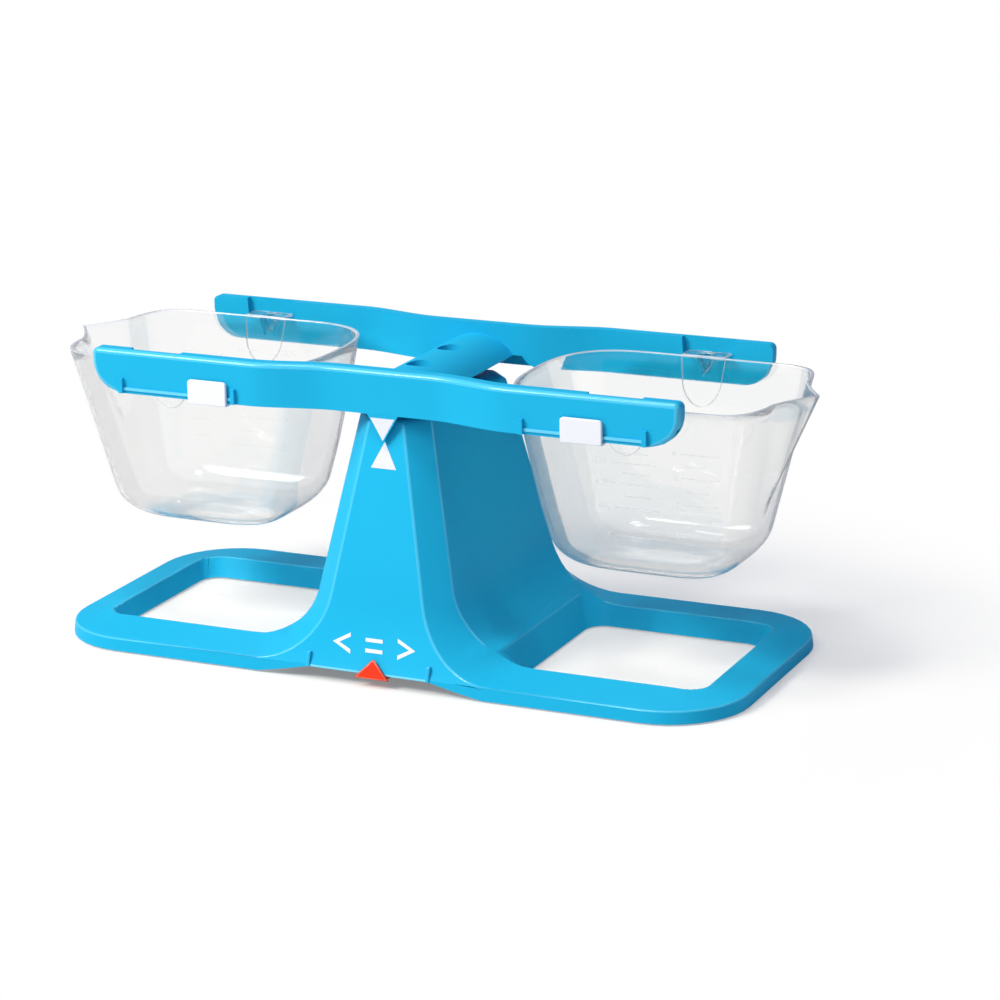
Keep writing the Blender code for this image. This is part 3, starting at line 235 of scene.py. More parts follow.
def round_edges(piece, width, chosen, segments=3, keep_flat=False, skins=None):
    """Rounds the edges that a test on their middle and their sharpness in degrees chooses.

    The test gives the share of the width that an edge gets.
    When the faces are kept flat, they keep their own shading right up to the rounding.
    Two skins are the material of the piece and that of its rounding, which is a painted highlight.
    """
    rounded = bmesh.new()
    rounded.from_mesh(piece.data)
    weight = rounded.edges.layers.float.new("bevel_weight_edge")
    for face in rounded.faces:
        face.smooth = True
    for edge in rounded.edges:
        edge[weight] = 0.0
        if len(edge.link_faces) == 2:
            sharpness = math.degrees(edge.calc_face_angle())
            middle = (edge.verts[0].co + edge.verts[1].co) / 2
            edge.smooth = sharpness < SMOOTH_BELOW
            share = chosen(middle, sharpness, edge) if sharpness > NO_EDGE_BELOW else 0.0
            if share:
                edge[weight] = float(share)
                edge.smooth = False
    rounded.to_mesh(piece.data)
    rounded.free()
    bevel = piece.modifiers.new("round edges", "BEVEL")
    bevel.limit_method = "WEIGHT"
    bevel.width = width
    bevel.segments = segments
    bevel.use_clamp_overlap = False
    bevel.miter_outer = "MITER_ARC"
    bevel.harden_normals = keep_flat
    if skins:
        piece.data.materials.clear()
        for skin in skins:
            piece.data.materials.append(skin)
        bevel.material = 1
    apply_modifiers(piece)
    for layer in [a for a in piece.data.attributes if a.name == "bevel_weight_edge"]:
        piece.data.attributes.remove(layer)


def paint(piece, material):
    piece.data.materials.clear()
    piece.data.materials.append(material)


def finish_piece(piece, material, slot, body, *nodes):
    if len(piece.data.materials) < 2:
        paint(piece, material)
    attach(piece, body)
    if nodes:
        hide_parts(*nodes)


def stand_crease(middle, sharpness, edge):
    """How far to round an edge: the outer skin's creases, and the two stops of the marker's rail."""
    y = middle.y - STAND_MIDDLE
    if not edge.is_convex or middle.z > TOWER_SHOULDER:
        return 0.0
    if abs(abs(middle.x) - STOP_X) < STOP_HALF and y < STOP_FRONT and middle.z > STOP_LOW:
        return STOP_SHARE
    faces = edge.link_faces
    up = all(face.normal.z > LEAST_RISE for face in faces) and sharpness > CREASE_SHARPNESS
    one_wall = all(abs(face.normal.y) > WALL_NORMAL for face in faces) and abs(middle.x) > STOP_X
    in_neck = NECK_X[0] < abs(middle.x) < NECK_X[1] and NECK_Y[0] < abs(y) < NECK_Y[1]
    return 1.0 if up and edge.calc_length() > CREASE_SHORTEST and not in_neck and not one_wall else 0.0


blue_plastic = satin_plastic("blue satin plastic", BLUE, BLUE_PALE, roughness=0.34, shine=0.04)
blue_painted_highlight = satin_plastic("blue painted highlight", BLUE_PAINTED_HIGHLIGHT, BLUE_PAINTED_HIGHLIGHT_PALE, EDGE_ROUGHNESS, EDGE_SHINE)
stand_rail_painted_highlight = satin_plastic("blue marker rail, painted highlight", STAND_RAIL_PAINTED_HIGHLIGHT, STAND_RAIL_PAINTED_HIGHLIGHT_PALE, EDGE_ROUGHNESS, EDGE_SHINE)
stand = cleaned_copy("stand", "stand_moulding")
# The rounded creases and the rail's stops take the lighter blue: a painted highlight.
round_edges(stand, CREASE_ROUND, stand_crease, keep_flat=True, skins=(blue_plastic, blue_painted_highlight))
# The marker rail's front faces take the paler blue: a painted highlight.
stand.data.materials.append(stand_rail_painted_highlight)
for face in stand.data.polygons:
    on_rail = abs(face.center.x) < STOP_X and MARKER_RAIL[0] < face.center.z < MARKER_RAIL[1]
    if on_rail and face.normal.y < MARKER_RAIL_NORMAL:
        face.material_index = 2
finish_piece(stand, blue_plastic, "blue_plastic", "stand", "stand")

# Printed signs
# White ink on the front: less, greater and equal over the marker's run, which lean a little,
# and a triangle that points up at the tab. Each follows the panel's curve, a hair proud of it.

INK_LIFT = 0.00008
INK_DARK = (0.80, 0.81, 0.82)
INK_PALE = (0.88, 0.89, 0.89)
SIGN_HEIGHT = 0.0225
SIGN_STROKE = 0.0020
SIGN_SHIFT = 0.0014
SIGN_LEAN = 0.13
SIGN_CUTS = 7
CHEVRON_TIP = 0.0262
CHEVRON_ENDS = 0.0150
CHEVRON_HALF = 0.0056
CHEVRON_STROKE = SIGN_STROKE * 1.12
BAR_HALF = 0.0054
BAR_RISE = 0.0028
TRIANGLE_HALF = 0.0080
TRIANGLE_LOW = 0.1221
TRIANGLE_TIP = 0.1371
TIP_HALF = 0.0001
TRIANGLE_CUTS = 3
SHEET_MERGE = 0.00001
SHEET_FRONT = -0.14


def speckled(shader, pattern, colours, roughness, relief):
    """Lets one pattern vary a material's colour, its roughness from a lowest value, and its relief."""
    pattern.mixed(*colours).into(shader, "Base Color")
    (roughness[0] + pattern * roughness[1]).into(shader, "Roughness")
    grained(pattern, shader, *relief)


def flat_sheet(name, corners, cuts):
    """A flat four-cornered sheet in front of the balance, from corners in x and z, divided finely."""
    bpy.ops.object.select_all(action="DESELECT")
    bpy.ops.mesh.primitive_plane_add(size=1.0, location=(0.0, 0.0, 0.0))
    sheet = bpy.context.object
    sheet.name = name
    first, second, third, fourth = corners
    for corner, (x, z) in zip(sheet.data.vertices, (first, second, fourth, third)):
        corner.co = (x, SHEET_FRONT, z)
    bpy.ops.object.mode_set(mode="EDIT")
    bpy.ops.mesh.select_all(action="SELECT")
    bpy.ops.mesh.subdivide(number_cuts=cuts)
    bpy.ops.object.mode_set(mode="OBJECT")
    return sheet


def flat_bar(name, x0, x1, height, thickness, cuts):
    low, high = height - thickness / 2, height + thickness / 2
    return flat_sheet(name, [(x0, low), (x1, low), (x1, high), (x0, high)], cuts)


def joined(name, sheets):
    select_only(*sheets)
    if len(sheets) > 1:
        bpy.ops.object.join()
    sheets[0].name = name
    sheets[0].data.name = name
    bpy.ops.object.mode_set(mode="EDIT")
    bpy.ops.mesh.select_all(action="SELECT")
    bpy.ops.mesh.remove_doubles(threshold=SHEET_MERGE)
    bpy.ops.object.mode_set(mode="OBJECT")
    return sheets[0]


def chevron(name, side):
    """An angle whose point looks to one side."""
    arms = []
    for up in (1, -1):
        corners = [
            (side * CHEVRON_TIP, SIGN_HEIGHT),
            (side * (CHEVRON_TIP - 2.0 * SIGN_STROKE), SIGN_HEIGHT),
            (side * CHEVRON_ENDS, SIGN_HEIGHT + up * (CHEVRON_HALF - CHEVRON_STROKE)),
            (side * CHEVRON_ENDS, SIGN_HEIGHT + up * CHEVRON_HALF),
        ]
        arms.append(flat_sheet(name, corners, SIGN_CUTS))
    return joined(name, arms)


def triangle(name, half_low, low, half_high, high):
    """A triangle or its mirror image, whose point is as good as sharp."""
    corners = [(-half_low, low), (half_low, low), (half_high, high), (-half_high, high)]
    return joined(name, [flat_sheet("triangle", corners, TRIANGLE_CUTS)])


def printed_on(sheet, target, lift):
    wrap = sheet.modifiers.new("printed on", "SHRINKWRAP")
    wrap.wrap_method = "PROJECT"
    wrap.use_project_y = True
    wrap.use_positive_direction = True
    wrap.use_negative_direction = False
    wrap.target = target
    wrap.offset = lift
    apply_modifiers(sheet)


white_ink, ink_shader, ink_place = plain_material("white ink")
specks = cloud(ink_place, scale=1500.0, detail=3.0)
speckled(ink_shader, specks, (INK_DARK, INK_PALE), roughness=(0.42, 0.12), relief=(0.15, 0.00006))
signs = [chevron("sign_less", -1), chevron("sign_greater", 1)]
bars = [
    flat_bar("bar", -BAR_HALF, BAR_HALF, height, SIGN_STROKE, SIGN_CUTS)
    for height in (SIGN_HEIGHT - BAR_RISE, SIGN_HEIGHT + BAR_RISE)
]
signs.append(joined("sign_equal", bars))
for sign in signs:
    for corner in sign.data.vertices:
        corner.co.x += SIGN_SHIFT - SIGN_LEAN * (corner.co.z - SIGN_HEIGHT)
signs.append(triangle("tower_triangle", TRIANGLE_HALF, TRIANGLE_LOW, TIP_HALF, TRIANGLE_TIP))
for sign in signs:
    printed_on(sign, stand, INK_LIFT)
    finish_piece(sign, white_ink, "white_plastic", "stand")

# Feet
# Four round black rubber feet, pressed into the ring's corners from below.
# Only their edges show in the shadow under the ring.

RUBBER_DARK = (0.012, 0.012, 0.013)
RUBBER_PALE = (0.035, 0.035, 0.036)
rubber, rubber_shader, rubber_place = plain_material("black rubber")
dust = cloud(rubber_place, scale=900.0, detail=4.0)
speckled(rubber_shader, dust, (RUBBER_DARK, RUBBER_PALE), roughness=(0.72, 0.2), relief=(0.3, 0.0001))
for corner in ("front_left", "front_right", "rear_left", "rear_right"):
    paint(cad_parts[f"foot_{corner}"], rubber)

# Bearings, knife edges and screws
# Ground steel blocks with a V groove on top of the tower, steel knife edges that rock in them,
# and the four screws that hold the blocks and the carrier.

STEEL_DARK = (0.50, 0.50, 0.51)
STEEL_PALE = (0.68, 0.68, 0.69)
STEEL_STRETCH = (1.0, 0.08, 1.0)
steel, steel_shader, steel_place = plain_material("ground steel")
stretched = steel_place.node("ShaderNodeMapping", None, {"Vector": steel_place, "Scale": STEEL_STRETCH})
steel_lines = cloud(stretched, scale=3000.0)
speckled(steel_shader, steel_lines, (STEEL_DARK, STEEL_PALE), roughness=(0.22, 0.18), relief=(0.15, 0.00005))
steel_shader.inputs["Metallic"].default_value = 1.0
for piece_name in ("bearing", "bearing_screw", "knife_edge", "carrier_screw"):
    for row in ("front", "rear"):
        paint(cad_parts[f"{piece_name}_{row}"], steel)

# Carrier
# A dark blue moulded plate under the saddle that holds the two knife edges.
# Two screws in the saddle's wells hold it up.

CARRIER_BLUE = (0.006, 0.230, 0.460)
CARRIER_BLUE_PALE = (0.008, 0.250, 0.490)
dark_plastic = satin_plastic("dark plastic", CARRIER_BLUE, CARRIER_BLUE_PALE, roughness=0.5)
paint(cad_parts["pivot_carrier"], dark_plastic)

# Beam
# Both arms, the saddle over the tower and the pointer tab are one blue moulding, open beneath.
# Its upper edges and round ends are well rounded, as a child's hand meets them, and the roundings are a
# lighter blue, a painted highlight.
# A rail low on each arm's front carries a slider, and its face is a paler blue, a painted highlight.

ARM_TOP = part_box("beam")[1][2]
ARM_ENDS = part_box("beam")[1][0]
ARM_LOW = 0.1536
ARM_DEPTH = 0.069
ARM_GAIN = 0.009
GAIN_FROM = 0.030
GAIN_RUN = 0.052
ARM_ROUND = 0.0028
ARM_ROUND_END = 0.166
ARM_TOP_BAND = 0.004
ARM_FOOT_BAND = 0.0005
ARM_FACE_NEAR = 0.0004
ARM_SHARPNESS = 40.0
SLIDE_RAIL_OUT = (0.0005, 0.0012)
SLIDE_RAIL_RISE = (0.0015, 0.0045)
SLIDE_RAIL_NORMAL = -0.9
# A paler blue for the slide rail's front: a painted highlight.
ARM_RAIL_PAINTED_HIGHLIGHT = (0.12, 0.64, 0.86)
ARM_RAIL_PAINTED_HIGHLIGHT_PALE = (0.15, 0.67, 0.88)


def outer_face(x):
    """Depth of an arm's outer face from the middle."""
    share = min(max((abs(x) - GAIN_FROM) / GAIN_RUN, 0.0), 1.0)
    return ARM_DEPTH + ARM_GAIN * share * share * (3.0 - 2.0 * share)


def arm_outer_edge(middle, sharpness, edge):
    """The outer edge along an arm's top, and the whole of it round the arm's end."""
    y = abs(middle.y - STAND_MIDDLE)
    near = abs(y - outer_face(middle.x)) < ARM_FACE_NEAR
    above_foot = middle.z > ARM_LOW + ARM_FOOT_BAND
    top_or_end = middle.z > ARM_TOP - ARM_TOP_BAND or abs(middle.x) > ARM_ROUND_END
    return near and above_foot and sharpness > ARM_SHARPNESS and top_or_end


arm_rail_painted_highlight = satin_plastic("blue slide rail, painted highlight", ARM_RAIL_PAINTED_HIGHLIGHT, ARM_RAIL_PAINTED_HIGHLIGHT_PALE, EDGE_ROUGHNESS, EDGE_SHINE)
beam = cleaned_copy("beam", "beam_moulding")
# The rounded outer edges take the lighter blue: a painted highlight.
round_edges(beam, ARM_ROUND, arm_outer_edge, segments=5, keep_flat=True, skins=(blue_plastic, blue_painted_highlight))
beam.data.materials.append(arm_rail_painted_highlight)
# The slide rail's front faces take the paler blue: a painted highlight.
for face in beam.data.polygons:
    out = STAND_MIDDLE - face.center.y - outer_face(ARM_ENDS)
    on_rail = ARM_LOW + SLIDE_RAIL_RISE[0] < face.center.z < ARM_LOW + SLIDE_RAIL_RISE[1]
    if face.normal.y < SLIDE_RAIL_NORMAL and SLIDE_RAIL_OUT[0] < out < SLIDE_RAIL_OUT[1] and on_rail:
        face.material_index = 2
finish_piece(beam, blue_plastic, "blue_plastic", "beam", "beam")

# Printed triangle on the tab
# White ink on the beam's pointer tab, pointing down at the triangle on the tower.
# The two points meet when the balance is level.

TAB_HALF = 0.0076
TAB_TIP = 0.1386
TAB_TOP = 0.1516
tab_sign = triangle("tab_triangle", TIP_HALF, TAB_TIP, TAB_HALF, TAB_TOP)
printed_on(tab_sign, beam, INK_LIFT)
finish_piece(tab_sign, white_ink, "white_plastic", "beam")

# Sliders
# Two white clips over the front arm's lower edge, which are slid to set the balance to zero.
# Their plates have round corners and soft edges.

WHITE = (0.87, 0.87, 0.87)
WHITE_PALE = (0.91, 0.91, 0.91)
SLIDER_CORNER = 0.0022
SLIDER_SOFT = 0.0006
SLIDER_NEAR = 0.0003
SLIDER_TOP_BAND = 0.0005
SLIDER_ACROSS = 0.9
SLIDER_SHARPNESS = 30.0


def smooth_faces(piece, degrees):
    select_only(piece)
    bpy.ops.object.shade_smooth_by_angle(angle=math.radians(degrees))


def slider_clip(side):
    """One clip, its plate's upper corners rounded first and then the edges of its front."""
    low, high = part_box(f"slider_{side}")
    clip = cleaned_copy(f"slider_{side}", f"slider_clip_{side}")

    def plate_corner(middle, sharpness, edge):
        across_plate = abs((edge.verts[0].co - edge.verts[1].co).normalized().y) > SLIDER_ACROSS
        at_end = min(middle.x - low[0], high[0] - middle.x) < SLIDER_NEAR
        return across_plate and at_end and middle.z > high[2] - SLIDER_TOP_BAND

    def plate_edge(middle, sharpness, edge):
        return sharpness > SLIDER_SHARPNESS and middle.y < low[1] + SLIDER_NEAR

    round_edges(clip, SLIDER_CORNER, plate_corner, segments=5)
    round_edges(clip, SLIDER_SOFT, plate_edge, segments=3)
    smooth_faces(clip, SMOOTH_BELOW)
    return clip


white_plastic = satin_plastic("white plastic", WHITE, WHITE_PALE, roughness=0.36)
for side in ("left", "right"):
    slider = slider_clip(side)
    finish_piece(slider, white_plastic, "white_plastic", f"slider_{side}", f"slider_{side}")

# Red marker
# A small red triangle that leans on the foot's flare and hooks under its front edge.
# It is slid to the sign that the result calls for.

RED = (0.86, 0.040, 0.012)
RED_PALE = (0.90, 0.055, 0.020)
# Lighter reds for the rounded front edges: a painted highlight.
RED_PAINTED_HIGHLIGHT = (0.95, 0.16, 0.09)
RED_PAINTED_HIGHLIGHT_PALE = (0.97, 0.19, 0.11)
MARKER_ROUND = 0.0008
MARKER_SHARPNESS = 30.0
MARKER_RIM_DEPTH = 0.0045
MARKER_RIM_SHORTEST = 0.004
MARKER_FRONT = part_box("red_marker")[0][1]


def marker_rim(middle, sharpness, edge):
    in_front = middle.y < MARKER_FRONT + MARKER_RIM_DEPTH
    return sharpness > MARKER_SHARPNESS and in_front and edge.calc_length() > MARKER_RIM_SHORTEST


red_plastic = satin_plastic("red plastic", RED, RED_PALE, roughness=0.38)
red_painted_highlight = satin_plastic("red painted highlight", RED_PAINTED_HIGHLIGHT, RED_PAINTED_HIGHLIGHT_PALE, roughness=0.25, shine=0.4)
marker = cleaned_copy("red_marker", "red_marker_clip")
# The rounded front edges take the lighter red: a painted highlight.
round_edges(marker, MARKER_ROUND, marker_rim, segments=4, keep_flat=True, skins=(red_plastic, red_painted_highlight))
finish_piece(marker, red_plastic, "red_plastic", "marker", "red_marker")

# Buckets
# Two like clear polystyrene mouldings with a pouring spout, which hang by a T on each long side.
# The left one is the same moulding turned half round.

RIM = 0.1707
RIM_EDGE = 0.0007
RIM_CORNER = 0.0002
RIM_SKIN = 0.0008
BUCKET_LOW = 0.0637
BUCKET_WALL = 0.002
BUCKET_FOOT = 0.0195
BUCKET_IN = 0.0624
BUCKET_OUT = 0.2217
BUCKET_HALF = 0.0618
TAPER_IN = 0.25
TAPER_OUT = 0.228
TAPER_SIDE = 0.179
ROUND_IN = 0.039
ROUND_OUT = 0.033
SQUARENESS_IN = 4.0
SQUARENESS_OUT = 3.5
RIM_SQUARENESS_IN = 2.8
RIM_ROUND_IN = 0.052
RIM_FORM_DEPTH = 0.070
CORNER_ROOM = 0.94
SPOUT_REACH = 0.0155
SPOUT_HALF = 0.0285
SPOUT_DEPTH = 0.068
SPOUT_LEAST = 0.35
SPOUT_POINT = 1.35
STATIONS = 144
OUTLINE_STEPS = 160
OUTLINE_CROWDING = 1.6
FOOT_STEPS = 10
WALL_STEPS = 14
BUCKET_SMOOTH = 35.0
CLEAR = (0.962, 0.964, 0.957)
# A less clear skin for the rim's top and the hangers' roundings: a painted highlight.
CLEAR_PAINTED_HIGHLIGHT = (0.96, 0.965, 0.965)
CLEAR_PASSING = (0.975, 0.975, 0.97, 1.0)
CLEAR_SHARE = 0.16
CLEAR_IOR = 1.46


def clear_material(name, colour, clearness, ior):
    made, shader, place = plain_material(name)
    shader.inputs["Base Color"].default_value = (*colour, 1.0)
    shader.inputs["Transmission Weight"].default_value = clearness
    shader.inputs["IOR"].default_value = ior
    return made, shader, place


def end_curve(shares, end, reach, half, squareness):
    """One end of the outline, for shares from 0 at the end's middle to 1 where it meets the side."""
    points = []
    for share in shares:
        angle = 0.5 * math.pi * share**OUTLINE_CROWDING
        x = max(0.0, math.cos(angle)) ** (2 / squareness)
        y = math.sin(angle) ** (2 / squareness)
        points.append((end - reach * (1.0 - x), -half * y))
    return points


def half_outline(fall, inset):
    """Front half of the bucket's plan outline without the spout, from the outer end round to the inner end."""
    inner = BUCKET_IN + TAPER_IN * fall + inset
    outer = BUCKET_OUT - TAPER_OUT * fall - inset
    half = BUCKET_HALF - TAPER_SIDE * fall - inset
    near_rim = max(0.0, 1.0 - fall / RIM_FORM_DEPTH)
    squareness_in = SQUARENESS_IN + (RIM_SQUARENESS_IN - SQUARENESS_IN) * near_rim
    round_in = ROUND_IN + (RIM_ROUND_IN - ROUND_IN) * near_rim
    room = min(1.0, CORNER_ROOM * (outer - inner) / (round_in + ROUND_OUT))
    shares = [step / OUTLINE_STEPS for step in range(OUTLINE_STEPS + 1)]
    outer_end = end_curve(shares, outer, ROUND_OUT * room, half, SQUARENESS_OUT)
    inner_end = end_curve([1.0 - share for share in shares], inner, -round_in * room, half, squareness_in)
    return outer_end + inner_end


def evenly(line, count):
    """That many points at even steps along a line, both ends among them."""
    run = [0.0]
    for (x0, y0), (x1, y1) in zip(line, line[1:]):
        run.append(run[-1] + math.hypot(x1 - x0, y1 - y0))
    points = []
    i = 0
    for step in range(count):
        target = run[-1] * step / (count - 1)
        while i < len(run) - 2 and run[i + 1] < target:
            i += 1
        span = max(run[i + 1] - run[i], 1e-12)
        share = min(max((target - run[i]) / span, 0.0), 1.0)
        points.append((
            line[i][0] + (line[i + 1][0] - line[i][0]) * share,
            line[i][1] + (line[i + 1][1] - line[i][1]) * share,
        ))
    return points


def spout_at(y, fall):
    """How far the spout stands out of the bucket's outer end."""
    left = 1.0 - fall / SPOUT_DEPTH
    if left <= 0.0:
        return 0.0
    half = SPOUT_HALF * (SPOUT_LEAST + (1.0 - SPOUT_LEAST) * left)
    return SPOUT_REACH * left * max(0.0, 1.0 - abs(y) / half) ** SPOUT_POINT


def bucket_outline(height, inset):
    """Plan outline of the right bucket at a height, from the spout's tip round by the front."""
    fall = RIM - height
    front = evenly(half_outline(fall, inset), STATIONS // 2 + 1)
    ring = front + [(x, -y) for x, y in reversed(front[1:-1])]
    outer = BUCKET_OUT - TAPER_OUT * fall - inset
    placed = []
    for x, y in ring:
        if x > outer - ROUND_OUT:
            x += spout_at(y, fall)
        placed.append(Vector((x, y + STAND_MIDDLE, height)))
    return placed


def skin_levels(inset):
    """Heights and insets of one skin, from its floor round the foot and up to the rim."""
    low = BUCKET_LOW + inset
    radius = BUCKET_FOOT - inset
    skin = []
    for step in range(FOOT_STEPS):
        angle = 0.5 * math.pi * step / FOOT_STEPS
        skin.append((low + radius * (1.0 - math.cos(angle)), inset + radius * (1.0 - math.sin(angle))))
    start = low + radius
    for step in range(WALL_STEPS):
        skin.append((start + (RIM - RIM_EDGE - start) * step / (WALL_STEPS - 1), inset))
    return skin


clear_plastic, clear_shader, clear_place = clear_material("clear plastic", CLEAR, 1.0, CLEAR_IOR)
haze = cloud(clear_place, scale=60.0, detail=4.0)
(haze * 0.03).into(clear_shader, "Roughness")
grained(cloud(clear_place, scale=28.0, detail=2.0), clear_shader, strength=0.03, distance=0.0005)
see_through = clear_place.node("ShaderNodeBsdfTransparent", None, {"Color": CLEAR_PASSING})
clear_mix = clear_place.node("ShaderNodeMixShader", None, {0: CLEAR_SHARE, 2: see_through})
clear_tree = clear_plastic.node_tree
clear_tree.links.new(clear_shader.outputs["BSDF"], clear_mix.socket.node.inputs[1])
clear_mix.into(clear_tree.nodes["Material Output"], "Surface")

# The less clear skin of the rim's top and the hangers' roundings: a painted highlight.
clear_painted_highlight, highlight_shader, highlight_place = clear_material("clear plastic, painted highlight", CLEAR_PAINTED_HIGHLIGHT, 0.55, CLEAR_IOR)
(cloud(highlight_place, scale=900.0) * 0.1 + 0.08).into(highlight_shader, "Roughness")

rim_levels = [
    (RIM - RIM_CORNER, RIM_CORNER),
    (RIM, RIM_EDGE),
    (RIM, BUCKET_WALL - RIM_EDGE),
    (RIM - RIM_CORNER, BUCKET_WALL - RIM_CORNER),
]
levels = skin_levels(0.0) + rim_levels + skin_levels(BUCKET_WALL)[::-1]
bpy.ops.object.select_all(action="DESELECT")
bpy.ops.mesh.primitive_circle_add(vertices=STATIONS, fill_type="NOTHING")
bucket = bpy.context.object
bucket.name = "bucket_moulding_right"
bpy.ops.object.mode_set(mode="EDIT")
shape = bmesh.from_edit_mesh(bucket.data)
station = shape.verts.layers.int.new("station")
shape.verts.ensure_lookup_table()
for i, corner in enumerate(shape.verts):
    corner[station] = i
bpy.ops.mesh.select_all(action="SELECT")
for row, (height, inset) in enumerate(levels):
    if row:
        bpy.ops.mesh.extrude_edges_move()
    shape = bmesh.from_edit_mesh(bucket.data)
    station = shape.verts.layers.int["station"]
    outline = bucket_outline(height, inset)
    for corner in shape.verts:
        if corner.select:
            corner.co = outline[corner[station]]
    bmesh.update_edit_mesh(bucket.data)
for skin in ("outer", "inner"):
    bpy.ops.mesh.select_all(action="DESELECT")
    shape = bmesh.from_edit_mesh(bucket.data)
    for edge in shape.edges:
        if edge.is_boundary:
            edge.select_set(True)
    bmesh.update_edit_mesh(bucket.data)
    bpy.ops.mesh.edge_face_add()
bpy.ops.mesh.select_all(action="SELECT")
bpy.ops.mesh.normals_make_consistent(inside=False)
bpy.ops.object.mode_set(mode="OBJECT")
bucket.data.materials.append(clear_plastic)
bucket.data.materials.append(clear_painted_highlight)
# The rim's top faces take the less clear skin: a painted highlight.
for face in bucket.data.polygons:
    face.material_index = 1 if face.center.z > RIM - RIM_SKIN else 0

HANGER_X = 0.1441
HANGER_LINE = 0.1591
HANGER_TIP = 0.0728
PLATE_HALF = 0.0134
PLATE_ROOT = 0.0604
PLATE_HEIGHTS = (RIM - 0.0015, RIM + 0.0005)
PLATE_ROUND = 0.0008
KNIFE_HALF = 0.0044
KNIFE_ROOT = 0.0602
KNIFE_TIP = HANGER_TIP - 0.0003
KNIFE_HEIGHTS = (HANGER_LINE, HANGER_LINE + 0.0106)
KNIFE_EDGE_BAND = 0.001
KNIFE_EDGE_SHARE = 0.08
PAD_HALF = 0.0142
PAD_HEIGHT = 0.0297
PAD_INTO_RIM = 0.001
PAD_THICKNESS = 0.0018
PAD_SUNK = 0.0008
PAD_TAPER = 9.0
PAD_CORNERS = 56
PAD_ROUND = 0.0007
PAD_SHARPNESS = 40.0


def hanger_block(name, row, half, reach, heights):
    """A block beside the bucket, with its half width, its reach from the middle and its heights."""
    near, far = sorted((row * reach[0], row * reach[1]))
    low = (HANGER_X - half, near + STAND_MIDDLE, heights[0])
    high = (HANGER_X + half, far + STAND_MIDDLE, heights[1])
    middle = [(a + b) / 2 for a, b in zip(low, high)]
    bpy.ops.object.select_all(action="DESELECT")
    bpy.ops.mesh.primitive_cube_add(size=1.0, location=middle)
    made = bpy.context.object
    made.name = name
    made.scale = [b - a for a, b in zip(low, high)]
    bpy.ops.object.transform_apply(location=True, rotation=True, scale=True)
    return made


def hanger_plate(row):
    """The flat top of a T, level with the rim."""
    plate = hanger_block("hanger_plate", row, PLATE_HALF, (PLATE_ROOT, HANGER_TIP), PLATE_HEIGHTS)
    # Its roundings take the less clear skin: a painted highlight.
    round_edges(plate, PLATE_ROUND, lambda middle, sharpness, edge: True, skins=(clear_plastic, clear_painted_highlight))
    return plate


def hanger_knife(row):
    """The V edge under a plate, on which the bucket swings."""
    knife = hanger_block("hanger_knife", row, KNIFE_HALF, (KNIFE_ROOT, KNIFE_TIP), KNIFE_HEIGHTS)
    for corner in knife.data.vertices:
        if corner.co.z < HANGER_LINE + KNIFE_EDGE_BAND:
            corner.co.x = HANGER_X + (corner.co.x - HANGER_X) * KNIFE_EDGE_SHARE
    return knife


def hanger_pad(row):
    """A flat pad on the bucket's side under a plate, round below and wider towards the rim."""
    bpy.ops.object.select_all(action="DESELECT")
    bpy.ops.mesh.primitive_circle_add(
        vertices=PAD_CORNERS,
        radius=PAD_HALF,
        fill_type="NGON",
        location=(HANGER_X, 0.0, 0.0),
        rotation=(math.pi / 2, 0.0, 0.0),
    )
    pad = bpy.context.object
    pad.name = "hanger_pad"
    bpy.ops.object.transform_apply(location=True, rotation=True, scale=True)
    bpy.ops.object.mode_set(mode="EDIT")
    bpy.ops.mesh.select_all(action="SELECT")
    bpy.ops.mesh.bisect(plane_co=(0.0, 0.0, 0.0), plane_no=(0.0, 0.0, 1.0), clear_outer=True)
    bpy.ops.mesh.select_all(action="DESELECT")
    cut = bmesh.from_edit_mesh(pad.data)
    for edge in cut.edges:
        if all(abs(corner.co.z) < SHEET_MERGE for corner in edge.verts):
            edge.select_set(True)
    bmesh.update_edit_mesh(pad.data)
    rise = PAD_HEIGHT - PAD_HALF - PAD_INTO_RIM
    bpy.ops.mesh.extrude_edges_move(TRANSFORM_OT_translate={"value": (0.0, 0.0, rise)})
    bpy.ops.mesh.select_all(action="SELECT")
    bpy.ops.mesh.extrude_region_move(TRANSFORM_OT_translate={"value": (0.0, PAD_THICKNESS, 0.0)})
    bpy.ops.mesh.select_all(action="SELECT")
    bpy.ops.mesh.normals_make_consistent(inside=False)
    bpy.ops.object.mode_set(mode="OBJECT")
    pad.data.transform(Matrix.Translation((0.0, -PAD_THICKNESS if row < 0 else 0.0, PAD_HALF - PAD_HEIGHT)))
    for corner in pad.data.vertices:
        corner.co.x = HANGER_X + (corner.co.x - HANGER_X) * (1.0 + PAD_TAPER * corner.co.z)
    pad.data.transform(
        Matrix.Translation((0.0, STAND_MIDDLE + row * (BUCKET_HALF - PAD_SUNK), RIM))
        @ Matrix.Rotation(-row * math.atan(TAPER_SIDE), 4, "X")
    )
    # Its roundings take the less clear skin: a painted highlight.
    round_edges(
        pad,
        PAD_ROUND,
        lambda middle, sharpness, edge: sharpness > PAD_SHARPNESS,
        skins=(clear_plastic, clear_painted_highlight),
    )
    return pad


def half_turned(piece, name):
    """A copy of a right-hand piece for the left, turned half round the balance's middle."""
    made = piece.copy()
    made.data = piece.data.copy()
    made.name = name
    bpy.context.scene.collection.objects.link(made)
    to_middle = Matrix.Translation((0.0, -STAND_MIDDLE, 0.0))
    and_back = Matrix.Translation((0.0, STAND_MIDDLE, 0.0))
    made.data.transform(and_back @ Matrix.Rotation(math.pi, 4, "Z") @ to_middle)
    return made


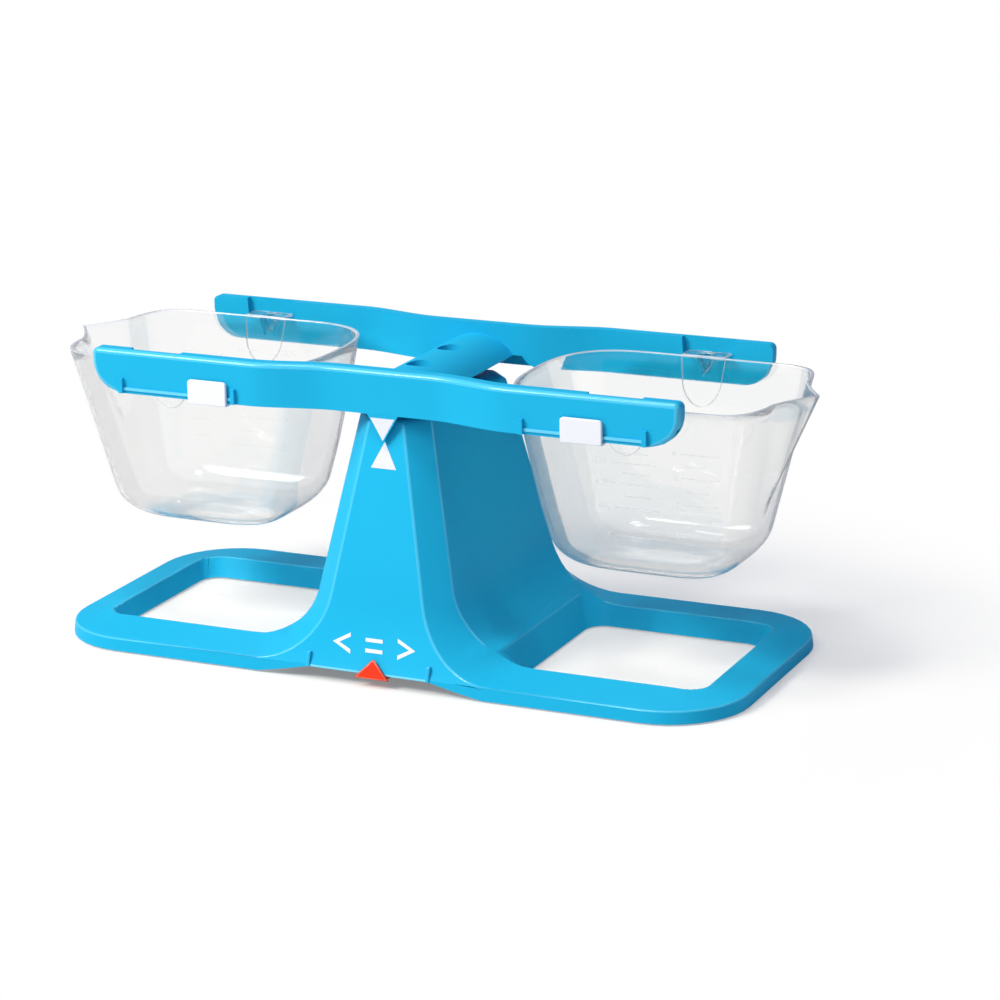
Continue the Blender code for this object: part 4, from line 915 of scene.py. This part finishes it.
hanger_parts = []
for row in (-1, 1):
    hanger_parts += [hanger_plate(row), hanger_knife(row), hanger_pad(row)]
for part in hanger_parts:
    union = bucket.modifiers.new(part.name, "BOOLEAN")
    union.operation = "UNION"
    union.solver = "EXACT"
    union.object = part
apply_modifiers(bucket)
for part in hanger_parts:
    bpy.data.objects.remove(part, do_unlink=True)
smooth_faces(bucket, BUCKET_SMOOTH)
bucket_left = half_turned(bucket, "bucket_moulding_left")
for side, piece in (("right", bucket), ("left", bucket_left)):
    finish_piece(piece, clear_plastic, "clear_plastic", f"bucket_{side}", f"bucket_{side}")

# Volume marks
# Fine raised lines and numbers in the same clear plastic on one long side of each bucket.
# They read from the front on the right bucket and from behind on the left one.

MARK_RAISE = 0.00018
MARK_LIFT = 0.00003
LINE_THICKNESS = 0.0005
LINE_CUTS = 9
NUMBER_SIZE = 0.0052
TOP_LINE = 0.149
FROST = (1.0, 1.0, 1.0)
# Each column: where its numbers end, the ends of a line, how much shorter a line gets
# over the fall from the top one, the ends of a halfway line, and the marks with their heights.
MARK_COLUMNS = (
    (0.1322, (0.1337, 0.1618), 0.0, (0.1410, 0.1577),
     ((1000, 0.1490), (800, 0.1366), (600, 0.1240), (400, 0.1090), (200, 0.0918))),
    (0.1742, (0.1760, 0.2000), 0.12, (0.1790, 0.1920),
     ((4, 0.1455), (3, 0.1310), (2, 0.1145), (1, 0.0955))),
)


def mark_line(x0, x1, height):
    return flat_bar("line", x0, x1, height, LINE_THICKNESS, LINE_CUTS)


def mark_number(number, x, height):
    bpy.ops.object.select_all(action="DESELECT")
    bpy.ops.object.text_add(location=(0.0, 0.0, 0.0))
    text = bpy.context.object
    text.data.body = str(number)
    text.data.size = NUMBER_SIZE
    text.data.align_x = "RIGHT"
    text.data.align_y = "CENTER"
    text.data.resolution_u = 3
    bpy.ops.object.convert(target="MESH")
    made = bpy.context.object
    made.data.transform(Matrix.Translation((x, SHEET_FRONT, height)) @ Matrix.Rotation(math.pi / 2, 4, "X"))
    return made


mark_plastic, mark_shader, mark_place = clear_material("frosted marks", FROST, 0.93, 1.12)
frost = cloud(mark_place, scale=2200.0, detail=3.0)
(0.32 + frost * 0.2).into(mark_shader, "Roughness")
grained(frost, mark_shader, strength=0.2, distance=0.00005)
marks = []
for number_end, line_ends, shorter, halfway_ends, heights in MARK_COLUMNS:
    previous = None
    for number, height in heights:
        marks.append(mark_line(line_ends[0], line_ends[1] - (TOP_LINE - height) * shorter, height))
        marks.append(mark_number(number, number_end, height))
        if previous:
            marks.append(mark_line(*halfway_ends, (height + previous) / 2))
        previous = height
marks_right = joined("volume_marks_right", marks)
printed_on(marks_right, bucket, MARK_LIFT)
raised = marks_right.modifiers.new("raised", "SOLIDIFY")
raised.thickness = MARK_RAISE
raised.offset = 1.0
apply_modifiers(marks_right)
marks_left = half_turned(marks_right, "volume_marks_left")
finish_piece(marks_right, mark_plastic, "clear_plastic", "bucket_right")
finish_piece(marks_left, mark_plastic, "clear_plastic", "bucket_left")

# Floor and light
# A white table that keeps the soft shadow near the balance and fades to plain white away from it; under the
# stand's arch its white lift is weaker, a painted contact shadow.
# A large soft lamp stands to the front left, a weak one above, and the sky is a little blue.

TABLE_SIZE = 12.0
TABLE_PLAIN = (0.72, 0.72, 0.72, 1.0)
TABLE_SHADED = (0.62, 0.60, 0.555, 1.0)
TABLE_LIFT = 0.38
TABLE_FADE = (0.20, 0.40)
# The patch under the stand's arch where the table's lift is weaker: a painted shadow.
ARCH_X = (0.045, 0.080)
ARCH_Y = (0.088, 0.100)
ARCH_SHADE = 0.62
FULL_WHITE = (1.0, 1.0, 1.0, 1.0)
SKY_STRENGTH = 0.30
SKY_MIRRORED_LESS = 0.14
SKY_SEEN_MORE = 0.70
SKY_TINT = (0.86, 0.97, 1.36)
KEY_TINT = (1.0, 0.985, 0.945)


def eased(way, start, end, low):
    """Goes softly from a low value to 1 as a distance goes from its start to its end."""
    return way.node(
        "ShaderNodeMapRange",
        {"interpolation_type": "SMOOTHSTEP"},
        {"Value": way, "From Min": start, "From Max": end, "To Min": low, "To Max": 1.0},
    )


def soft_lamp(name, place, aim, size, power, colour=(1.0, 1.0, 1.0)):
    bpy.ops.object.light_add(type="AREA", location=place)
    lamp = bpy.context.object
    lamp.name = name
    lamp.data.shape = "RECTANGLE"
    lamp.data.size, lamp.data.size_y = size
    lamp.data.energy = power
    lamp.data.color = colour
    lamp.rotation_euler = (Vector(aim) - Vector(place)).to_track_quat("-Z", "Y").to_euler()


bpy.ops.object.select_all(action="DESELECT")
bpy.ops.mesh.primitive_plane_add(size=TABLE_SIZE, location=(0.0, 0.0, 0.0))
floor = bpy.context.object
floor.name = "floor"
white_floor = bpy.data.materials.new("white table")
white_floor.use_nodes = True
tree = white_floor.node_tree
tree.nodes.remove(tree.nodes["Principled BSDF"])
table = Tone(tree)
seen = table.node("ShaderNodeLightPath", out="Is Camera Ray")
through = table.node("ShaderNodeLightPath", out="Is Transmission Ray")
viewed = table.node("ShaderNodeClamp", None, {0: seen + through})
spot = table.node("ShaderNodeTexCoord", out="Object")
sides = [table.node("ShaderNodeSeparateXYZ", None, {0: spot}, out=axis) for axis in ("X", "Y")]
# Darker under the stand's arch: a painted shadow on the table.
beside_painted_shadow = [
    eased(side.sum("ABSOLUTE", side), *span, ARCH_SHADE) for side, span in zip(sides, (ARCH_X, ARCH_Y))
]
outside_painted_shadow = table.sum("MAXIMUM", *beside_painted_shadow)
away = table.node("ShaderNodeVectorMath", {"operation": "LENGTH"}, {0: spot}, out="Value")
plain = table.node("ShaderNodeBsdfDiffuse", None, {"Color": TABLE_PLAIN})
shaded = table.node("ShaderNodeBsdfDiffuse", None, {"Color": TABLE_SHADED})
lift = table.node("ShaderNodeEmission", None, {"Color": FULL_WHITE, "Strength": TABLE_LIFT})
lit = table.node("ShaderNodeAddShader", None, {0: shaded, 1: lift})
near = table.node("ShaderNodeMixShader", None, {0: outside_painted_shadow, 1: shaded, 2: lit})
blank = table.node("ShaderNodeEmission", None, {"Color": FULL_WHITE, "Strength": 1.0})
shown = table.node("ShaderNodeMixShader", None, {0: eased(away, *TABLE_FADE, 0.0), 1: near, 2: blank})
both = table.node("ShaderNodeMixShader", None, {0: viewed, 1: plain, 2: shown})
both.into(tree.nodes["Material Output"], "Surface")
floor.data.materials.append(white_floor)

world = bpy.data.worlds.new("studio")
bpy.context.scene.world = world
world.use_nodes = True
tree = world.node_tree
sky = Tone(tree)
seen = sky.node("ShaderNodeLightPath", out="Is Camera Ray")
mirrored = sky.node("ShaderNodeLightPath", out="Is Glossy Ray")
through = sky.node("ShaderNodeLightPath", out="Is Transmission Ray")
behind = sky.node("ShaderNodeClamp", None, {0: seen + through})
strength = SKY_STRENGTH - mirrored * SKY_MIRRORED_LESS + behind * SKY_SEEN_MORE
strength.into(tree.nodes["Background"], "Strength")
behind.mixed(SKY_TINT, FULL_WHITE[:3]).into(tree.nodes["Background"], "Color")
soft_lamp("key", place=(-1.3, -1.6, 1.9), aim=(0.0, 0.0, 0.08), size=(0.9, 0.9), power=60.0, colour=KEY_TINT)
soft_lamp("top", place=(-0.3, -0.5, 2.0), aim=(0.0, 0.0, 0.1), size=(0.4, 0.4), power=12.0)

bpy.context.scene.view_settings.view_transform = "Standard"
